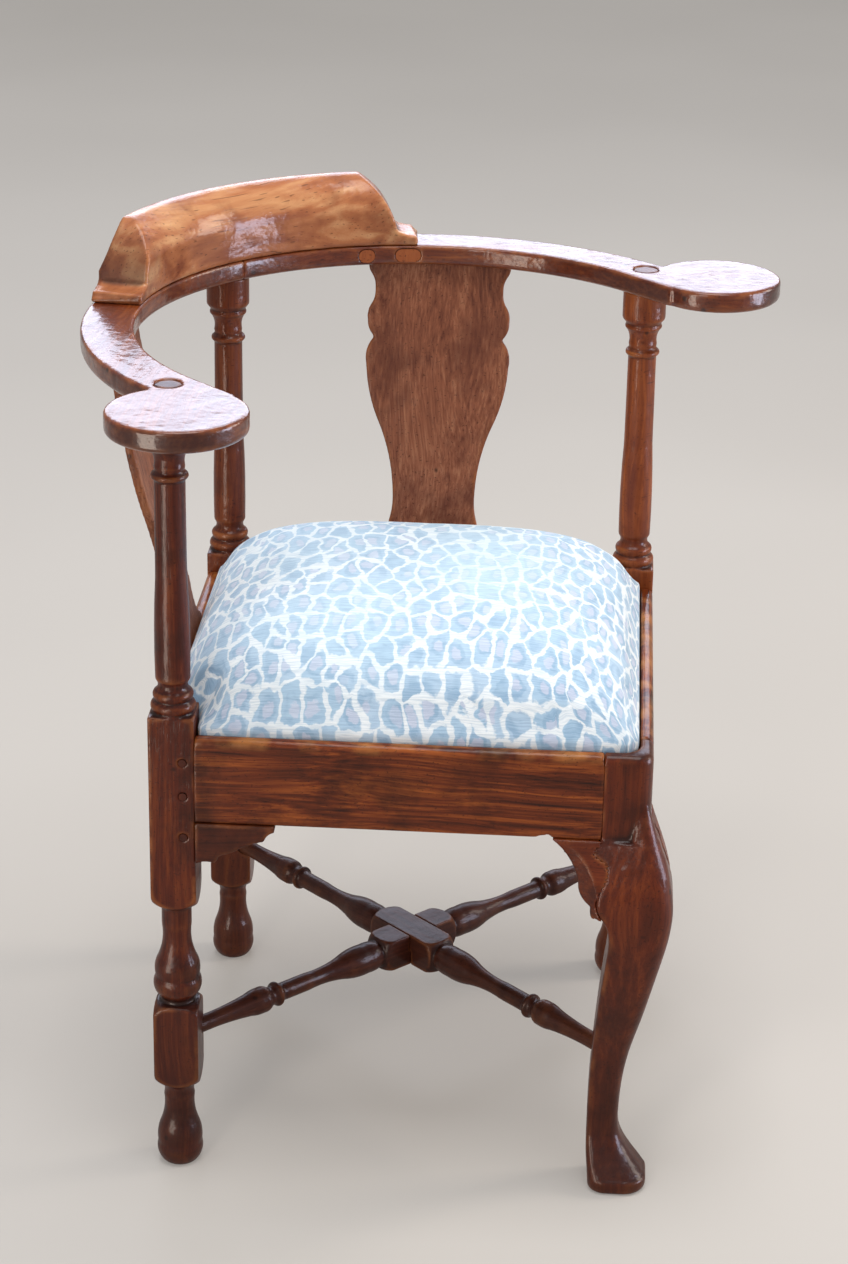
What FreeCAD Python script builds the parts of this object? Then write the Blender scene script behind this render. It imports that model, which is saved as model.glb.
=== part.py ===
"""Corner chair with a lift-out seat, in millimetres.

The seat is a square turned by 45 degrees: one corner, the curved leg, points forward, and
turned posts stand at the left, right and back corners. A half round bow of two arms lies on
the posts, with a raised crest over its back.

Chair frame: +X to the right of someone who faces the chair, +Y to the back, +Z up, with the
origin on the floor under the middle of the chair's outline. The posts, rails, splats and the
seat are drawn square to the rails, with the posts at the corners of a square, and are turned
by 45 degrees at the end. The arms, the crest and the stretchers are drawn straight.
"""
import FreeCAD, Part
import Sketcher
import math
import os

Vector = FreeCAD.Vector
doc = FreeCAD.newDocument("corner_chair")
sheet = doc.addObject("Spreadsheet::Sheet", "sizes")


class Size:
    """A size from the sheet, or a sum of sizes: its number, and its text for an expression."""

    def __init__(self, number, text):
        self.number = float(number)
        self.text = text

    def __add__(self, other):
        other = size_of(other)
        return Size(self.number + other.number, "(%s + %s)" % (self.text, other.text))

    def __sub__(self, other):
        other = size_of(other)
        return Size(self.number - other.number, "(%s - %s)" % (self.text, other.text))

    def __mul__(self, other):
        other = size_of(other)
        return Size(self.number * other.number, "(%s * %s)" % (self.text, other.text))

    def __truediv__(self, other):
        other = size_of(other)
        return Size(self.number / other.number, "(%s / %s)" % (self.text, other.text))

    def __neg__(self):
        return Size(-self.number, "(0 - %s)" % self.text)

    def __rsub__(self, other):
        return size_of(other) - self

    __radd__ = __add__
    __rmul__ = __mul__


def size_of(value):
    if isinstance(value, Size):
        return value
    return Size(value, "%.12g" % value)


def root(value):
    return Size(math.sqrt(value.number), "sqrt(%s)" % value.text)


# The driving sizes, group by group, in millimetres and degrees.
driving = [
    ("plan", [
        ("half_span", 203.5),
        ("middle_to_origin", 17.0),
        ("fit_clearance", 0.15),
        ("tenon_end_clearance", 0.6),
    ]),
    ("posts", [
        ("post_width", 41.5),
        ("foot_base_radius", 15.5),
        ("foot_swell_radius", 20.8),
        ("foot_swell_height", 20.0),
        ("foot_waist_radius", 14.5),
        ("foot_waist_height", 71.0),
        ("low_block_bottom", 94.0),
        ("low_block_top", 170.5),
        ("bulb_neck_radius", 15.2),
        ("bulb_radius", 20.3),
        ("bulb_height", 197.0),
        ("leg_neck_radius", 13.8),
        ("leg_neck_height", 250.0),
        ("high_block_bottom", 280.0),
        ("high_block_top", 462.5),
        ("base_ring_radius", 20.5),
        ("base_ring_height", 12.0),
        ("base_torus_radius", 18.4),
        ("base_torus_height", 9.5),
        ("shaft_foot_radius", 15.7),
        ("shaft_middle_radius", 14.2),
        ("shaft_middle_height", 590.0),
        ("shaft_top_radius", 13.8),
        ("astragal_radius", 16.8),
        ("astragal_height", 684.5),
        ("astragal_thickness", 6.0),
        ("capital_neck_radius", 14.0),
        ("capital_ring_radius", 18.3),
        ("capital_ring_height", 711.0),
        ("capital_radius", 21.0),
        ("capital_bottom", 719.0),
        ("post_tenon_radius", 12.0),
        ("post_tenon_below_top", 0.6),
    ]),
    ("rails", [
        ("rail_face", 21.0),
        ("rail_thickness", 38.0),
        ("rail_bottom", 362.0),
        ("rail_top", 444.0),
        ("rail_edge_radius", 7.5),
        ("lip_thickness", 12.0),
        ("rebate_depth", 20.0),
        ("rail_tenon_thickness", 9.0),
        ("rail_tenon_length", 27.0),
        ("rail_tenon_setback", 3.0),
        ("rail_tenon_bottom", 372.0),
        ("rail_tenon_top", 432.0),
        ("paring_length", 16.0),
        ("paring_height", 4.0),
        ("paring_depth", 9.0),
    ]),
    ("pegs", [
        ("peg_radius", 3.6),
        ("peg_length", 27.0),
        ("peg_place", 10.0),
        ("peg_low_height", 387.0),
        ("peg_high_height", 420.0),
        ("bracket_peg_height", 346.5),
        ("bracket_peg_length", 14.0),
    ]),
    ("front_leg", [
        ("leg_block_width", 43.5),
        ("leg_corner_radius", 14.0),
        ("leg_arris_radius", 4.0),
        ("knee_top", 396.0),
        ("knee_height", 302.0),
        ("knee_front", 44.3),
        ("shin_height", 180.0),
        ("shin_front", 21.8),
        ("ankle_height", 70.0),
        ("ankle_front", 4.2),
        ("ankle_back", 25.0),
        ("pad_height", 13.5),
        ("toe_front", 31.8),
        ("heel_back", 21.8),
    ]),
    ("brackets", [
        ("side_bracket_length", 72.5),
        ("side_bracket_height", 40.5),
        ("side_bracket_nose", 15.0),
        ("side_bracket_proud", 3.0),
        ("side_bracket_thickness", 21.0),
        ("knee_bracket_length", 45.0),
        ("knee_bracket_height", 75.0),
        ("knee_bracket_nose_proud", 2.0),
        ("knee_bracket_leg_proud", 22.0),
        ("knee_bracket_thickness", 14.0),
        ("knee_bracket_scribe", 8.0),
        ("knee_bracket_fall", 57.0),
        ("nail_radius", 1.3),
        ("nail_length", 34.0),
        ("nail_head_radius", 2.8),
        ("nail_head_thickness", 1.0),
    ]),
    ("arms", [
        ("arm_underside", 747.0),
        ("arm_thickness", 20.0),
        ("bow_inner_radius", 261.0),
        ("bow_outer_radius", 309.5),
        ("handrest_radius", 61.0),
        ("handrest_side", 324.0),
        ("handrest_ahead", 60.0),
        ("arm_top_round", 3.0),
        ("arm_bottom_round", 5.5),
        ("arm_dowel_radius", 4.0),
        ("arm_dowel_length", 60.0),
        ("arm_dowel_bow_radius", 269.0),
        ("plug_height", 13.0),
        ("plug_depth", 8.0),
        ("small_plug_width", 16.0),
        ("small_plug_angle", 29.2),
        ("large_plug_width", 25.0),
        ("large_plug_angle", 38.2),
    ]),
    ("crest", [
        ("crest_height", 67.0),
        ("crest_top_angle", 28.3),
        ("crest_groove_angle", 35.6),
        ("crest_end_angle", 40.3),
        ("crest_groove_height", 16.0),
        ("crest_bead_height", 17.5),
        ("crest_bead_nose_height", 5.0),
        ("crest_roll_height", 33.0),
        ("crest_roll_back", 27.0),
        ("crest_outer_slope", 10.0),
        ("crest_outer_foot", 24.0),
        ("crest_edge_radius", 1.5),
        ("screw_radius", 2.4),
        ("screw_length", 48.0),
        ("screw_head_radius", 4.5),
        ("screw_head_thickness", 3.0),
        ("screw_sink", 4.0),
        ("screw_inner_angle", 10.0),
        ("screw_outer_angle", 22.0),
    ]),
    ("splats", [
        ("splat_thickness", 8.3),
        ("splat_lean", 59.7),
        ("splat_top_half", 70.8),
        ("splat_neck_half", 63.9),
        ("splat_neck_drop", 27.0),
        ("splat_ear_half", 70.8),
        ("splat_ear_drop", 57.0),
        ("splat_cusp_half", 63.6),
        ("splat_cusp_drop", 74.0),
        ("splat_shoulder_half", 71.2),
        ("splat_shoulder_drop", 101.0),
        ("splat_waist_half", 41.4),
        ("splat_waist_drop", 227.0),
        ("splat_plinth_half", 62.0),
        ("splat_foot_half", 45.0),
        ("splat_foot_rise", 46.0),
        ("splat_tenon_half", 50.0),
        ("splat_tenon_top", 10.0),
        ("splat_tenon_bottom", 14.0),
        ("splat_tenon_thickness", 5.5),
    ]),
    ("stretchers", [
        ("stretcher_height", 133.5),
        ("stretcher_width", 32.0),
        ("stretcher_block_half", 46.0),
        ("stretcher_block_shoulder", 14.0),
        ("stretcher_root_radius", 12.8),
        ("stretcher_swell_radius", 14.8),
        ("stretcher_swell_place", 62.0),
        ("stretcher_waist_radius", 8.7),
        ("stretcher_waist_place", 165.0),
        ("stretcher_ring_radius", 12.2),
        ("stretcher_ring_place", 172.0),
        ("stretcher_ring_thickness", 6.0),
        ("stretcher_reel_radius", 10.0),
        ("stretcher_bulb_radius", 12.7),
        ("stretcher_bulb_place", 191.0),
        ("stretcher_end_radius", 8.0),
        ("socket_depth", 18.0),
        ("leg_socket_reach", 276.0),
    ]),
    ("seat", [
        ("seat_gap", 1.0),
        ("seat_rest_gap", 0.3),
        ("cover_thickness", 1.2),
        ("hem_width", 16.0),
        ("tack_radius", 0.8),
        ("tack_length", 9.0),
        ("tack_head_radius", 3.0),
        ("tack_head_thickness", 0.8),
        ("tack_spacing", 45.0),
        ("slip_thickness", 20.0),
        ("slip_width", 50.0),
        ("slip_dowel_radius", 4.0),
        ("slip_dowel_length", 50.0),
        ("strap_width", 50.0),
        ("strap_thickness", 1.5),
        ("strap_spacing", 90.0),
        ("strap_overlap", 30.0),
        ("base_cloth_thickness", 0.8),
        ("seat_corner_radius", 18.0),
        ("crown_height", 78.0),
    ]),
]


class Names:
    """The sheet's sizes, each under its own name."""


S = Names()
row = 1
for group, entries in driving:
    sheet.set("A%d" % row, "'" + group)
    row += 1
    for name, value in entries:
        sheet.set("A%d" % row, "'" + name)
        sheet.set("B%d" % row, "%.12g" % value)
        sheet.setAlias("B%d" % row, name)
        setattr(S, name, Size(value, "sizes." + name))
        row += 1
doc.recompute()


def bind(thing, what, size):
    thing.setExpression(what, size_of(size).text)


def fresh(kind, name):
    return doc.addObject(kind, name)


def box(name, x, y, z, turn=0.0):
    """A box between pairs of sizes, turned about the origin's upright."""
    made = fresh("Part::Box", name)
    for what, pair in (("Length", x), ("Width", y), ("Height", z)):
        bind(made, what, size_of(pair[1]) - size_of(pair[0]))
    if not turn:
        for what, pair in (("x", x), ("y", y), ("z", z)):
            bind(made, "Placement.Base." + what, pair[0])
        return made
    c, s = math.cos(math.radians(turn)), math.sin(math.radians(turn))
    made.Placement.Rotation = FreeCAD.Rotation(Vector(0, 0, 1), turn)
    bind(made, "Placement.Base.x", size_of(x[0]) * c - size_of(y[0]) * s)
    bind(made, "Placement.Base.y", size_of(x[0]) * s + size_of(y[0]) * c)
    bind(made, "Placement.Base.z", z[0])
    return made


def rod(name, radius, start, along, length):
    """A cylinder from a start point along a direction."""
    made = fresh("Part::Cylinder", name)
    bind(made, "Radius", radius)
    bind(made, "Height", length)
    made.Placement.Rotation = FreeCAD.Rotation(Vector(0, 0, 1), Vector(*along))
    for what, value in zip("xyz", start):
        bind(made, "Placement.Base." + what, value)
    return made


def join(name, parts):
    if len(parts) == 1:
        return parts[0]
    made = fresh("Part::MultiFuse", name)
    made.Shapes = parts
    return made


def cut(name, base, tools):
    made = fresh("Part::Cut", name)
    made.Base = base
    made.Tool = join(name + "_tools", tools)
    return made


def shared(name, parts):
    made = fresh("Part::MultiCommon", name)
    made.Shapes = parts
    return made


def origin_plane(body, role):
    for feature in body.Origin.OriginFeatures:
        if feature.Role == role:
            return feature


def outline(body, plane, points, offset=0.0):
    """A closed sketch through points (x, y) or (x, y, swell) given counter-clockwise.

    The swell of a point makes the side that starts there an arc: its rise as a share of its
    chord, outwards where it is positive.
    """
    sketch = body.newObject("Sketcher::SketchObject", body.Name + "_outline")
    sketch.AttachmentSupport = [(origin_plane(body, plane), "")]
    sketch.MapMode = "FlatFace"
    bind(sketch, "AttachmentOffset.Base.z", offset)
    corners = [(size_of(p[0]), size_of(p[1]), p[2] if len(p) > 2 else 0.0) for p in points]
    firsts, lasts = [], []
    centres = []
    for i, (x, y, swell) in enumerate(corners):
        nx, ny = corners[(i + 1) % len(corners)][:2]
        a = Vector(x.number, y.number, 0)
        b = Vector(nx.number, ny.number, 0)
        if not swell:
            sketch.addGeometry(Part.LineSegment(a, b), False)
            firsts.append(1)
            lasts.append(2)
            continue
        run = b - a
        top = (a + b) / 2 + Vector(run.y, -run.x, 0) * swell
        ends = (a, b) if swell > 0 else (b, a)
        sketch.addGeometry(Part.Arc(ends[0], top, ends[1]), False)
        firsts.append(1 if swell > 0 else 2)
        lasts.append(2 if swell > 0 else 1)
        back = 1 / (8 * swell) - swell / 2
        if abs(run.y) > abs(run.x):
            centres.append((i, "DistanceX", (x + nx) / 2 - (ny - y) * back))
        else:
            centres.append((i, "DistanceY", (y + ny) / 2 + (nx - x) * back))
    count = len(corners)
    for i in range(count):
        after = (i + 1) % count
        sketch.addConstraint(Sketcher.Constraint("Coincident", i, lasts[i], after, firsts[after]))
    for i, (x, y, swell) in enumerate(corners):
        for kind, value in (("DistanceX", x), ("DistanceY", y)):
            k = sketch.addConstraint(Sketcher.Constraint(kind, -1, 1, i, firsts[i], value.number))
            bind(sketch, "Constraints[%d]" % k, value)
    for i, kind, value in centres:
        k = sketch.addConstraint(Sketcher.Constraint(kind, -1, 1, i, 3, value.number))
        bind(sketch, "Constraints[%d]" % k, value)
    return sketch


def turned(name, points):
    """A body turned about the upright from its half outline."""
    body = fresh("PartDesign::Body", name)
    sketch = outline(body, "XZ_Plane", points)
    turn = body.newObject("PartDesign::Revolution", name + "_turning")
    turn.Profile = sketch
    turn.ReferenceAxis = (sketch, ["V_Axis"])
    turn.Angle = 360
    return body


def prism(name, plane, points, length, offset=0.0, middle=False):
    """A body padded from an outline on one of the origin's planes."""
    body = fresh("PartDesign::Body", name)
    pad = body.newObject("PartDesign::Pad", name + "_pad")
    pad.Profile = outline(body, plane, points, offset)
    bind(pad, "Length", length)
    if middle:
        pad.SideType = "Symmetric"
    body.Tip = pad
    return body


def free_shape(name, shape):
    made = fresh("Part::Feature", name)
    made.Shape = shape
    return made


nodes = []


def place(made, label, turn=0.0):
    """Names a finished piece and turns it about the seat's middle, which is ahead of the origin."""
    made.Label = label
    made.Placement = FreeCAD.Placement(Vector(0, 0, 0), FreeCAD.Rotation(Vector(0, 0, 1), turn))
    bind(made, "Placement.Base.y", S.middle_to_origin)
    nodes.append(made)


# Heights and places that several pieces share, and the turns of the square's sides and corners.
to_back_right = 360 / 8
to_back_left = 3 * to_back_right
to_front_left = 5 * to_back_right
to_front_right = 7 * to_back_right
half_post = S.post_width / 2
half_block = S.leg_block_width - S.rail_face
ledge = S.rail_top - S.rebate_depth
lip_inside = S.rail_face - S.lip_thickness
arm_top = S.arm_underside + S.arm_thickness
block_corner = half_post * math.sqrt(2)
tenon_top = arm_top - S.post_tenon_below_top
fit = S.fit_clearance
long = 400


# Posts.
def square_sleeve(name, bottom, top):
    """What a square block loses from a round blank: a big box less the block."""
    blank = box(name + "_blank", (-long, long), (-long, long), (bottom, top))
    kept = box(name + "_kept", (-half_post, half_post), (-half_post, half_post), (bottom, top))
    return cut(name, blank, [kept])


def post_turning(name):
    shaft_foot = S.high_block_top + S.base_ring_height + S.base_torus_height
    astragal_bottom = S.astragal_height - S.astragal_thickness / 2
    ring = S.base_ring_radius - 0.3 * (S.base_ring_height - 2)
    torus = S.base_torus_radius - 0.34 * S.base_torus_height
    astragal = S.astragal_radius - 0.38 * S.astragal_thickness
    return turned(name, [
        (0, 0),
        (S.foot_base_radius, 0, 0.14),
        (S.foot_swell_radius, S.foot_swell_height, 0.07),
        (S.foot_swell_radius - 3.4, S.foot_swell_height + 23, -0.06),
        (S.foot_waist_radius, S.foot_waist_height, -0.14),
        (S.foot_waist_radius + 3, S.low_block_bottom - 9, 0.16),
        (block_corner, S.low_block_bottom + 10),
        (block_corner, S.low_block_top - 15, 0.2),
        (S.bulb_neck_radius + 3, S.low_block_top),
        (S.bulb_neck_radius, S.low_block_top + 0.5),
        (S.bulb_neck_radius, S.low_block_top + 5, 0.2),
        (S.bulb_radius, S.bulb_height, 0.1),
        (S.bulb_radius - 2.6, S.bulb_height + 20, -0.07),
        (S.leg_neck_radius, S.leg_neck_height),
        (S.leg_neck_radius, S.high_block_bottom - 15, -0.15),
        (S.leg_neck_radius + 3, S.high_block_bottom - 9, 0.16),
        (block_corner, S.high_block_bottom + 10),
        (block_corner, S.high_block_top),
        (ring, S.high_block_top),
        (ring, S.high_block_top + 1, 0.3),
        (ring, S.high_block_top + S.base_ring_height - 1),
        (torus, S.high_block_top + S.base_ring_height, 0.34),
        (torus, shaft_foot, -0.2),
        (S.shaft_foot_radius, shaft_foot + 10, 0.01),
        (S.shaft_middle_radius, S.shaft_middle_height),
        (S.shaft_top_radius, astragal_bottom - 2, -0.2),
        (astragal, astragal_bottom, 0.38),
        (astragal, astragal_bottom + S.astragal_thickness, -0.2),
        (S.capital_neck_radius, S.astragal_height + 8, -0.12),
        (S.capital_ring_radius - 1.2, S.capital_ring_height - 2, 0.35),
        (S.capital_ring_radius - 1.2, S.capital_ring_height + 1.5),
        (S.capital_ring_radius - 1.8, S.capital_ring_height + 2.5),
        (S.capital_radius, S.capital_bottom),
        (S.capital_radius, S.arm_underside),
        (S.post_tenon_radius, S.arm_underside),
        (S.post_tenon_radius, tenon_top),
        (0, tenon_top),
    ])


def rail_mortises(name, centre, face):
    """The slots for two rail tenons, in a block whose rails leave towards -X and -Y."""
    outer = S.rail_face - S.rail_tenon_setback + fit
    inner = S.rail_face - S.rail_tenon_setback - S.rail_tenon_thickness - fit
    end = S.rail_tenon_length + S.tenon_end_clearance - face
    high = (S.rail_tenon_bottom - fit, S.rail_tenon_top + fit)
    reach = (centre - face - 30, centre + end)
    across = (centre + inner, centre + outer)
    return [box(name + "_slot_a", reach, across, high), box(name + "_slot_b", across, reach, high)]


def peg_places():
    """Start, direction and length of each peg in a post at the +X +Y corner."""
    c = S.half_span
    places = []
    for height in (S.peg_low_height, S.peg_high_height):
        places.append(((c - S.peg_place, c + half_post, height), (0, -1, 0), S.peg_length))
        places.append(((c + half_post, c - S.peg_place, height), (-1, 0, 0), S.peg_length))
    return places


def stretcher_socket(name, reach):
    """The hole for a stretcher's end, aimed at the middle of the chair."""
    c = reach / math.sqrt(2)
    hole = rod(name, S.stretcher_end_radius + fit, (c, c, S.stretcher_height), (-1, -1, 0), 60)
    return hole


post_reach = S.half_span * math.sqrt(2)
post_arris = post_reach - half_post * math.sqrt(2)
post_socket_end = post_arris + S.socket_depth
post_turns = {"right_post": to_front_right, "back_post": to_back_right, "left_post": to_back_left}
bracket_peg_sides = {"right_post": "y", "left_post": "x"}


def post(label):
    """A turned post, drawn about its own axis and moved to the +X +Y corner of the square."""
    turning = post_turning(label + "_turning")
    for what in "xy":
        bind(turning, "Placement.Base." + what, S.half_span)
    sleeves = []
    for part, bottom, top in (("low", S.low_block_bottom - 10, S.low_block_top),
                              ("high", S.high_block_bottom - 11, S.high_block_top)):
        sleeve = square_sleeve("%s_%s_sleeve" % (label, part), bottom, top)
        for what in "xy":
            bind(sleeve, "Placement.Base." + what, S.half_span)
        sleeves.append(sleeve)
    holes = rail_mortises(label, S.half_span, half_post)
    holes.append(stretcher_socket(label + "_socket", post_socket_end + S.tenon_end_clearance))
    for i, (start, along, length) in enumerate(peg_places()):
        holes.append(rod("%s_peg_hole_%d" % (label, i), S.peg_radius, start, along, length))
    if label in bracket_peg_sides:
        start, along = bracket_peg_place(bracket_peg_sides[label])
        holes.append(rod(label + "_low_peg_hole", S.peg_radius, start, along, S.bracket_peg_length))
    place(cut(label + "_cut", turning, sleeves + holes), label, post_turns[label])


def bracket_peg_place(side):
    c = S.half_span
    if side == "x":
        return (c - S.peg_place, c + half_post, S.bracket_peg_height), (0, -1, 0)
    return (c + half_post, c - S.peg_place, S.bracket_peg_height), (-1, 0, 0)


# Curved front leg.
def rounded_loop(corners, height):
    """A closed wire on one level through corners (x, y, radius), each of them rounded."""
    starts, ends, middles = [], [], []
    for i, (x, y, radius) in enumerate(corners):
        here = Vector(x, y, height)
        before = Vector(corners[i - 1][0], corners[i - 1][1], height) - here
        after = Vector(corners[(i + 1) % len(corners)][0], corners[(i + 1) % len(corners)][1], height) - here
        half = before.getAngle(after) / 2
        before.normalize()
        after.normalize()
        reach = radius / math.tan(half)
        inward = before + after
        inward.normalize()
        starts.append(here + before * reach)
        ends.append(here + after * reach)
        middles.append(here + inward * (radius / math.sin(half) - radius))
    edges = []
    for i in range(len(corners)):
        edges.append(Part.Arc(starts[i], middles[i], ends[i]).toShape())
        edges.append(Part.LineSegment(ends[i], starts[(i + 1) % len(corners)]).toShape())
    return Part.Wire(edges)


def leg_section(height, back, side, front, radius, edge_radius):
    """A section of the leg: its two shown faces run from the side corners out to the front corner."""
    c = S.half_span.number
    return rounded_loop([
        (c + front, c + front, radius),
        (c - back, c + side, edge_radius),
        (c - back, c - back, edge_radius),
        (c + side, c - back, edge_radius),
    ], height)


def curved_leg_shape():
    """The leg below its block: knee, shin and ankle in one loft, the knee's tongue and the pad."""
    back = half_block.number
    knee, shin, ankle = S.knee_height.number, S.shin_height.number, S.ankle_height.number
    front, top = S.knee_front.number, S.knee_top.number
    shin_front, ankle_front = S.shin_front.number, S.ankle_front.number
    ankle_back, toe = S.ankle_back.number, S.toe_front.number
    pad, heel = S.pad_height.number, S.heel_back.number
    face, bottom = S.rail_face.number, S.rail_bottom.number
    edge = S.leg_arris_radius.number
    sections = [
        (bottom, back, face + 1, front - 11, 13, edge),
        (bottom - 17, back, face + 10, front - 6, 16, edge),
        (bottom - 40, back, front - 4.5, front - 2, 17, edge),
        (knee - 4, back, front, front, 17, edge),
        (knee - 15, back - 6.5, front - 0.6, front - 0.4, 16, edge),
        (knee - 31, back - 10, front - 2.6, front - 2.4, 15, edge),
        (knee - 62, back - 8, front - 9, front - 8.8, 13, edge),
        (shin + 30, back - 4.9, shin_front + 6.9, shin_front + 6.9, 12, edge),
        (shin, back - 2.4, shin_front, shin_front, 11, edge),
        (shin - 40, ankle_back - 2.2, shin_front - 9.8, shin_front - 9.8, 10.5, edge),
        (ankle + 36, ankle_back - 0.6, ankle_front + 2.3, ankle_front + 2.3, 10.5, edge),
        (ankle, ankle_back, ankle_front, ankle_front, 11, edge + 1),
        (ankle - 22, ankle_back, ankle_front + 1.8, ankle_front + 1.8, 12, edge + 2),
        (ankle - 38, ankle_back - 0.3, ankle_front + 10.2, ankle_front + 10.2, 15.5, edge + 4),
        (pad + 7, heel + 1.7, toe - 7.6, toe - 7.6, 18, edge + 7),
        (pad, heel + 1, toe - 2, toe - 2, 19, edge + 10),
        (pad - 4, heel + 0.8, toe - 1.5, toe - 1.5, 19, edge + 10),
    ]
    tongue = [
        (top, -8, front - 25.3, front - 23.5, 7, 2),
        (top - 7, -8, front - 24.8, front - 20, 7.5, 2),
        (top - 15, -7, front - 22.8, front - 16.7, 9.5, 3),
        (bottom + 4, -5, front - 19.8, front - 11.3, 11, 4),
        (bottom - 12, 1, front - 13.3, front - 7.7, 15, 5),
        (bottom - 25, 6, front - 8.8, front - 6.4, 16, 7),
    ]
    sole = [
        (pad, heel, toe, toe, 20, edge + 11),
        (pad - 5, heel + 0.5, toe + 0.4, toe + 0.4, 20.4, edge + 11),
        (3, heel, toe - 0.5, toe - 0.5, 20, edge + 11),
        (0, heel - 2.5, toe - 3, toe - 3, 18.5, edge + 10),
    ]
    lofts = [Part.makeLoft([leg_section(*section) for section in group], True, False)
             for group in (sections, tongue, sole)]
    return lofts[0].fuse(lofts[1:])


def front_leg():
    c = S.half_span
    outer = c + S.rail_face
    inner = c - half_block
    r = S.leg_corner_radius
    block = prism("leg_block", "XY_Plane", [
        (inner, inner),
        (outer, inner),
        (outer, outer - r, 0.2071),
        (outer - r, outer),
        (inner, outer),
    ], S.rail_top - S.rail_bottom, S.rail_bottom)
    doc.recompute()
    moulded = round_over("leg_block_moulded", block, S.rail_edge_radius, top_outer_edges)
    curve = free_shape("leg_curve", curved_leg_shape())
    whole = join("leg_whole", [moulded, curve])
    lip = c + lip_inside
    round_lip = S.seat_corner_radius
    rebate = prism("leg_rebate", "XY_Plane", [
        (inner - 10, inner - 10),
        (lip, inner - 10),
        (lip, lip - round_lip, 0.2071),
        (lip - round_lip, lip),
        (inner - 10, lip),
    ], S.rebate_depth + 5, ledge)
    holes = rail_mortises("leg", c, half_block)
    holes.append(stretcher_socket("leg_socket", S.leg_socket_reach + S.tenon_end_clearance))
    place(cut("leg_cut", whole, [rebate] + holes), "front_leg", to_front_left)


def top_outer_edges(edge):
    """The top edges of the leg's block that face outwards, with the corner between them."""
    low = S.half_span.number + S.rail_face.number - S.leg_corner_radius.number
    middle = edge.CenterOfMass
    level = abs(edge.BoundBox.ZMin - S.rail_top.number) < 0.01 and edge.BoundBox.ZLength < 0.01
    outer = S.half_span.number + S.rail_face.number - 0.01
    return level and (edge.BoundBox.XMax > outer or edge.BoundBox.YMax > outer) and \
        (middle.x > low or middle.y > low)


def round_over(name, base, radius, chosen):
    """Rounds the edges of a piece that a test chooses."""
    made = fresh("Part::Fillet", name)
    made.Base = base
    picked = []
    for i, edge in enumerate(base.Shape.Edges):
        if chosen(edge):
            picked.append((i + 1, size_of(radius).number, size_of(radius).number))
    made.Edges = picked
    return made


# Rails. Each is drawn across +X, its ends towards +Y and -Y, and turned to its side.
rail_turns = {
    "back_right_rail": to_back_right,
    "back_left_rail": to_back_left,
    "front_left_rail": to_front_left,
    "front_right_rail": to_front_right,
}
leg_end = {"front_left_rail": 1, "front_right_rail": -1}


def rail(label):
    d = S.half_span
    outer = d + S.rail_face
    inner = outer - S.rail_thickness
    section = [
        (inner, S.rail_bottom),
        (outer, S.rail_bottom),
        (outer, S.rail_top - S.rail_edge_radius, 0.2071),
        (outer - S.rail_edge_radius, S.rail_top),
        (d + lip_inside, S.rail_top),
        (d + lip_inside, ledge),
        (inner, ledge),
    ]
    faces = {1: half_post, -1: half_post}
    if label in leg_end:
        faces[leg_end[label]] = half_block
    near, far = -(d - faces[-1]), d - faces[1]
    body = prism(label + "_bar", "XZ_Plane", section, far - near, -far)
    tenon_out = outer - S.rail_tenon_setback
    tenon = box(label + "_tenon", (tenon_out - S.rail_tenon_thickness, tenon_out),
                (near - S.rail_tenon_length, far + S.rail_tenon_length),
                (S.rail_tenon_bottom, S.rail_tenon_top))
    whole = join(label + "_whole", [body, tenon])
    holes = []
    for end in (1, -1):
        if leg_end.get(label) == end:
            continue
        for height in (S.peg_low_height, S.peg_high_height):
            start = (outer + 5, end * (d - S.peg_place), height)
            name = "%s_peg_hole_%d_%d" % (label, end, int(height.number))
            holes.append(rod(name, S.peg_radius, start, (-1, 0, 0), S.peg_length + 5))
    if label in leg_end:
        holes += front_rail_cuts(label, leg_end[label], outer)
    else:
        x = splat_tenon_span()
        half = S.splat_foot_half - 5 + fit
        holes.append(box(label + "_mortise", (x[0] - fit, x[1] + fit), (-half, half),
                         (S.rail_top - S.splat_tenon_bottom - S.tenon_end_clearance, S.rail_top + 5)))
    place(cut(label + "_cut", whole, holes), label, rail_turns[label])


def front_rail_cuts(label, end, outer):
    """The pared lower edge beside the knee bracket, and the holes of the bracket nails."""
    tip = S.half_span - half_block - S.knee_bracket_length
    triangle = [(end * tip, S.rail_bottom), (end * tip, S.rail_bottom + S.paring_height),
                (end * (tip - S.paring_length), S.rail_bottom)]
    if end < 0:
        triangle.reverse()
    paring = prism(label + "_paring", "YZ_Plane", triangle, S.paring_depth + 5, outer - S.paring_depth)
    cuts = [paring]
    for which in (1, -1):
        for i, (x, y, z, length) in enumerate(nail_places(which, end)):
            name = "%s_nail_hole_%d_%d" % (label, which, i)
            cuts.append(rod(name, S.nail_radius, (x, y, z), (0, 0, 1), length))
    return cuts


def nail_places(which, end):
    """Where two nails go up through a bracket, for the bracket at the leg end or the post end."""
    d = S.half_span
    side = which * end
    if which > 0:
        x = d + S.rail_face - 10
        places = [d - half_block - 14, d - half_block - 30]
        lows = [S.rail_bottom - 26, S.rail_bottom - 16]
    else:
        x = d + S.rail_face - 10
        places = [d - half_post - 25, d - half_post - 52]
        lows = [S.rail_bottom - 20, S.rail_bottom - 12]
    return [(x, side * y, low, S.nail_length) for y, low in zip(places, lows)]


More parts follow.
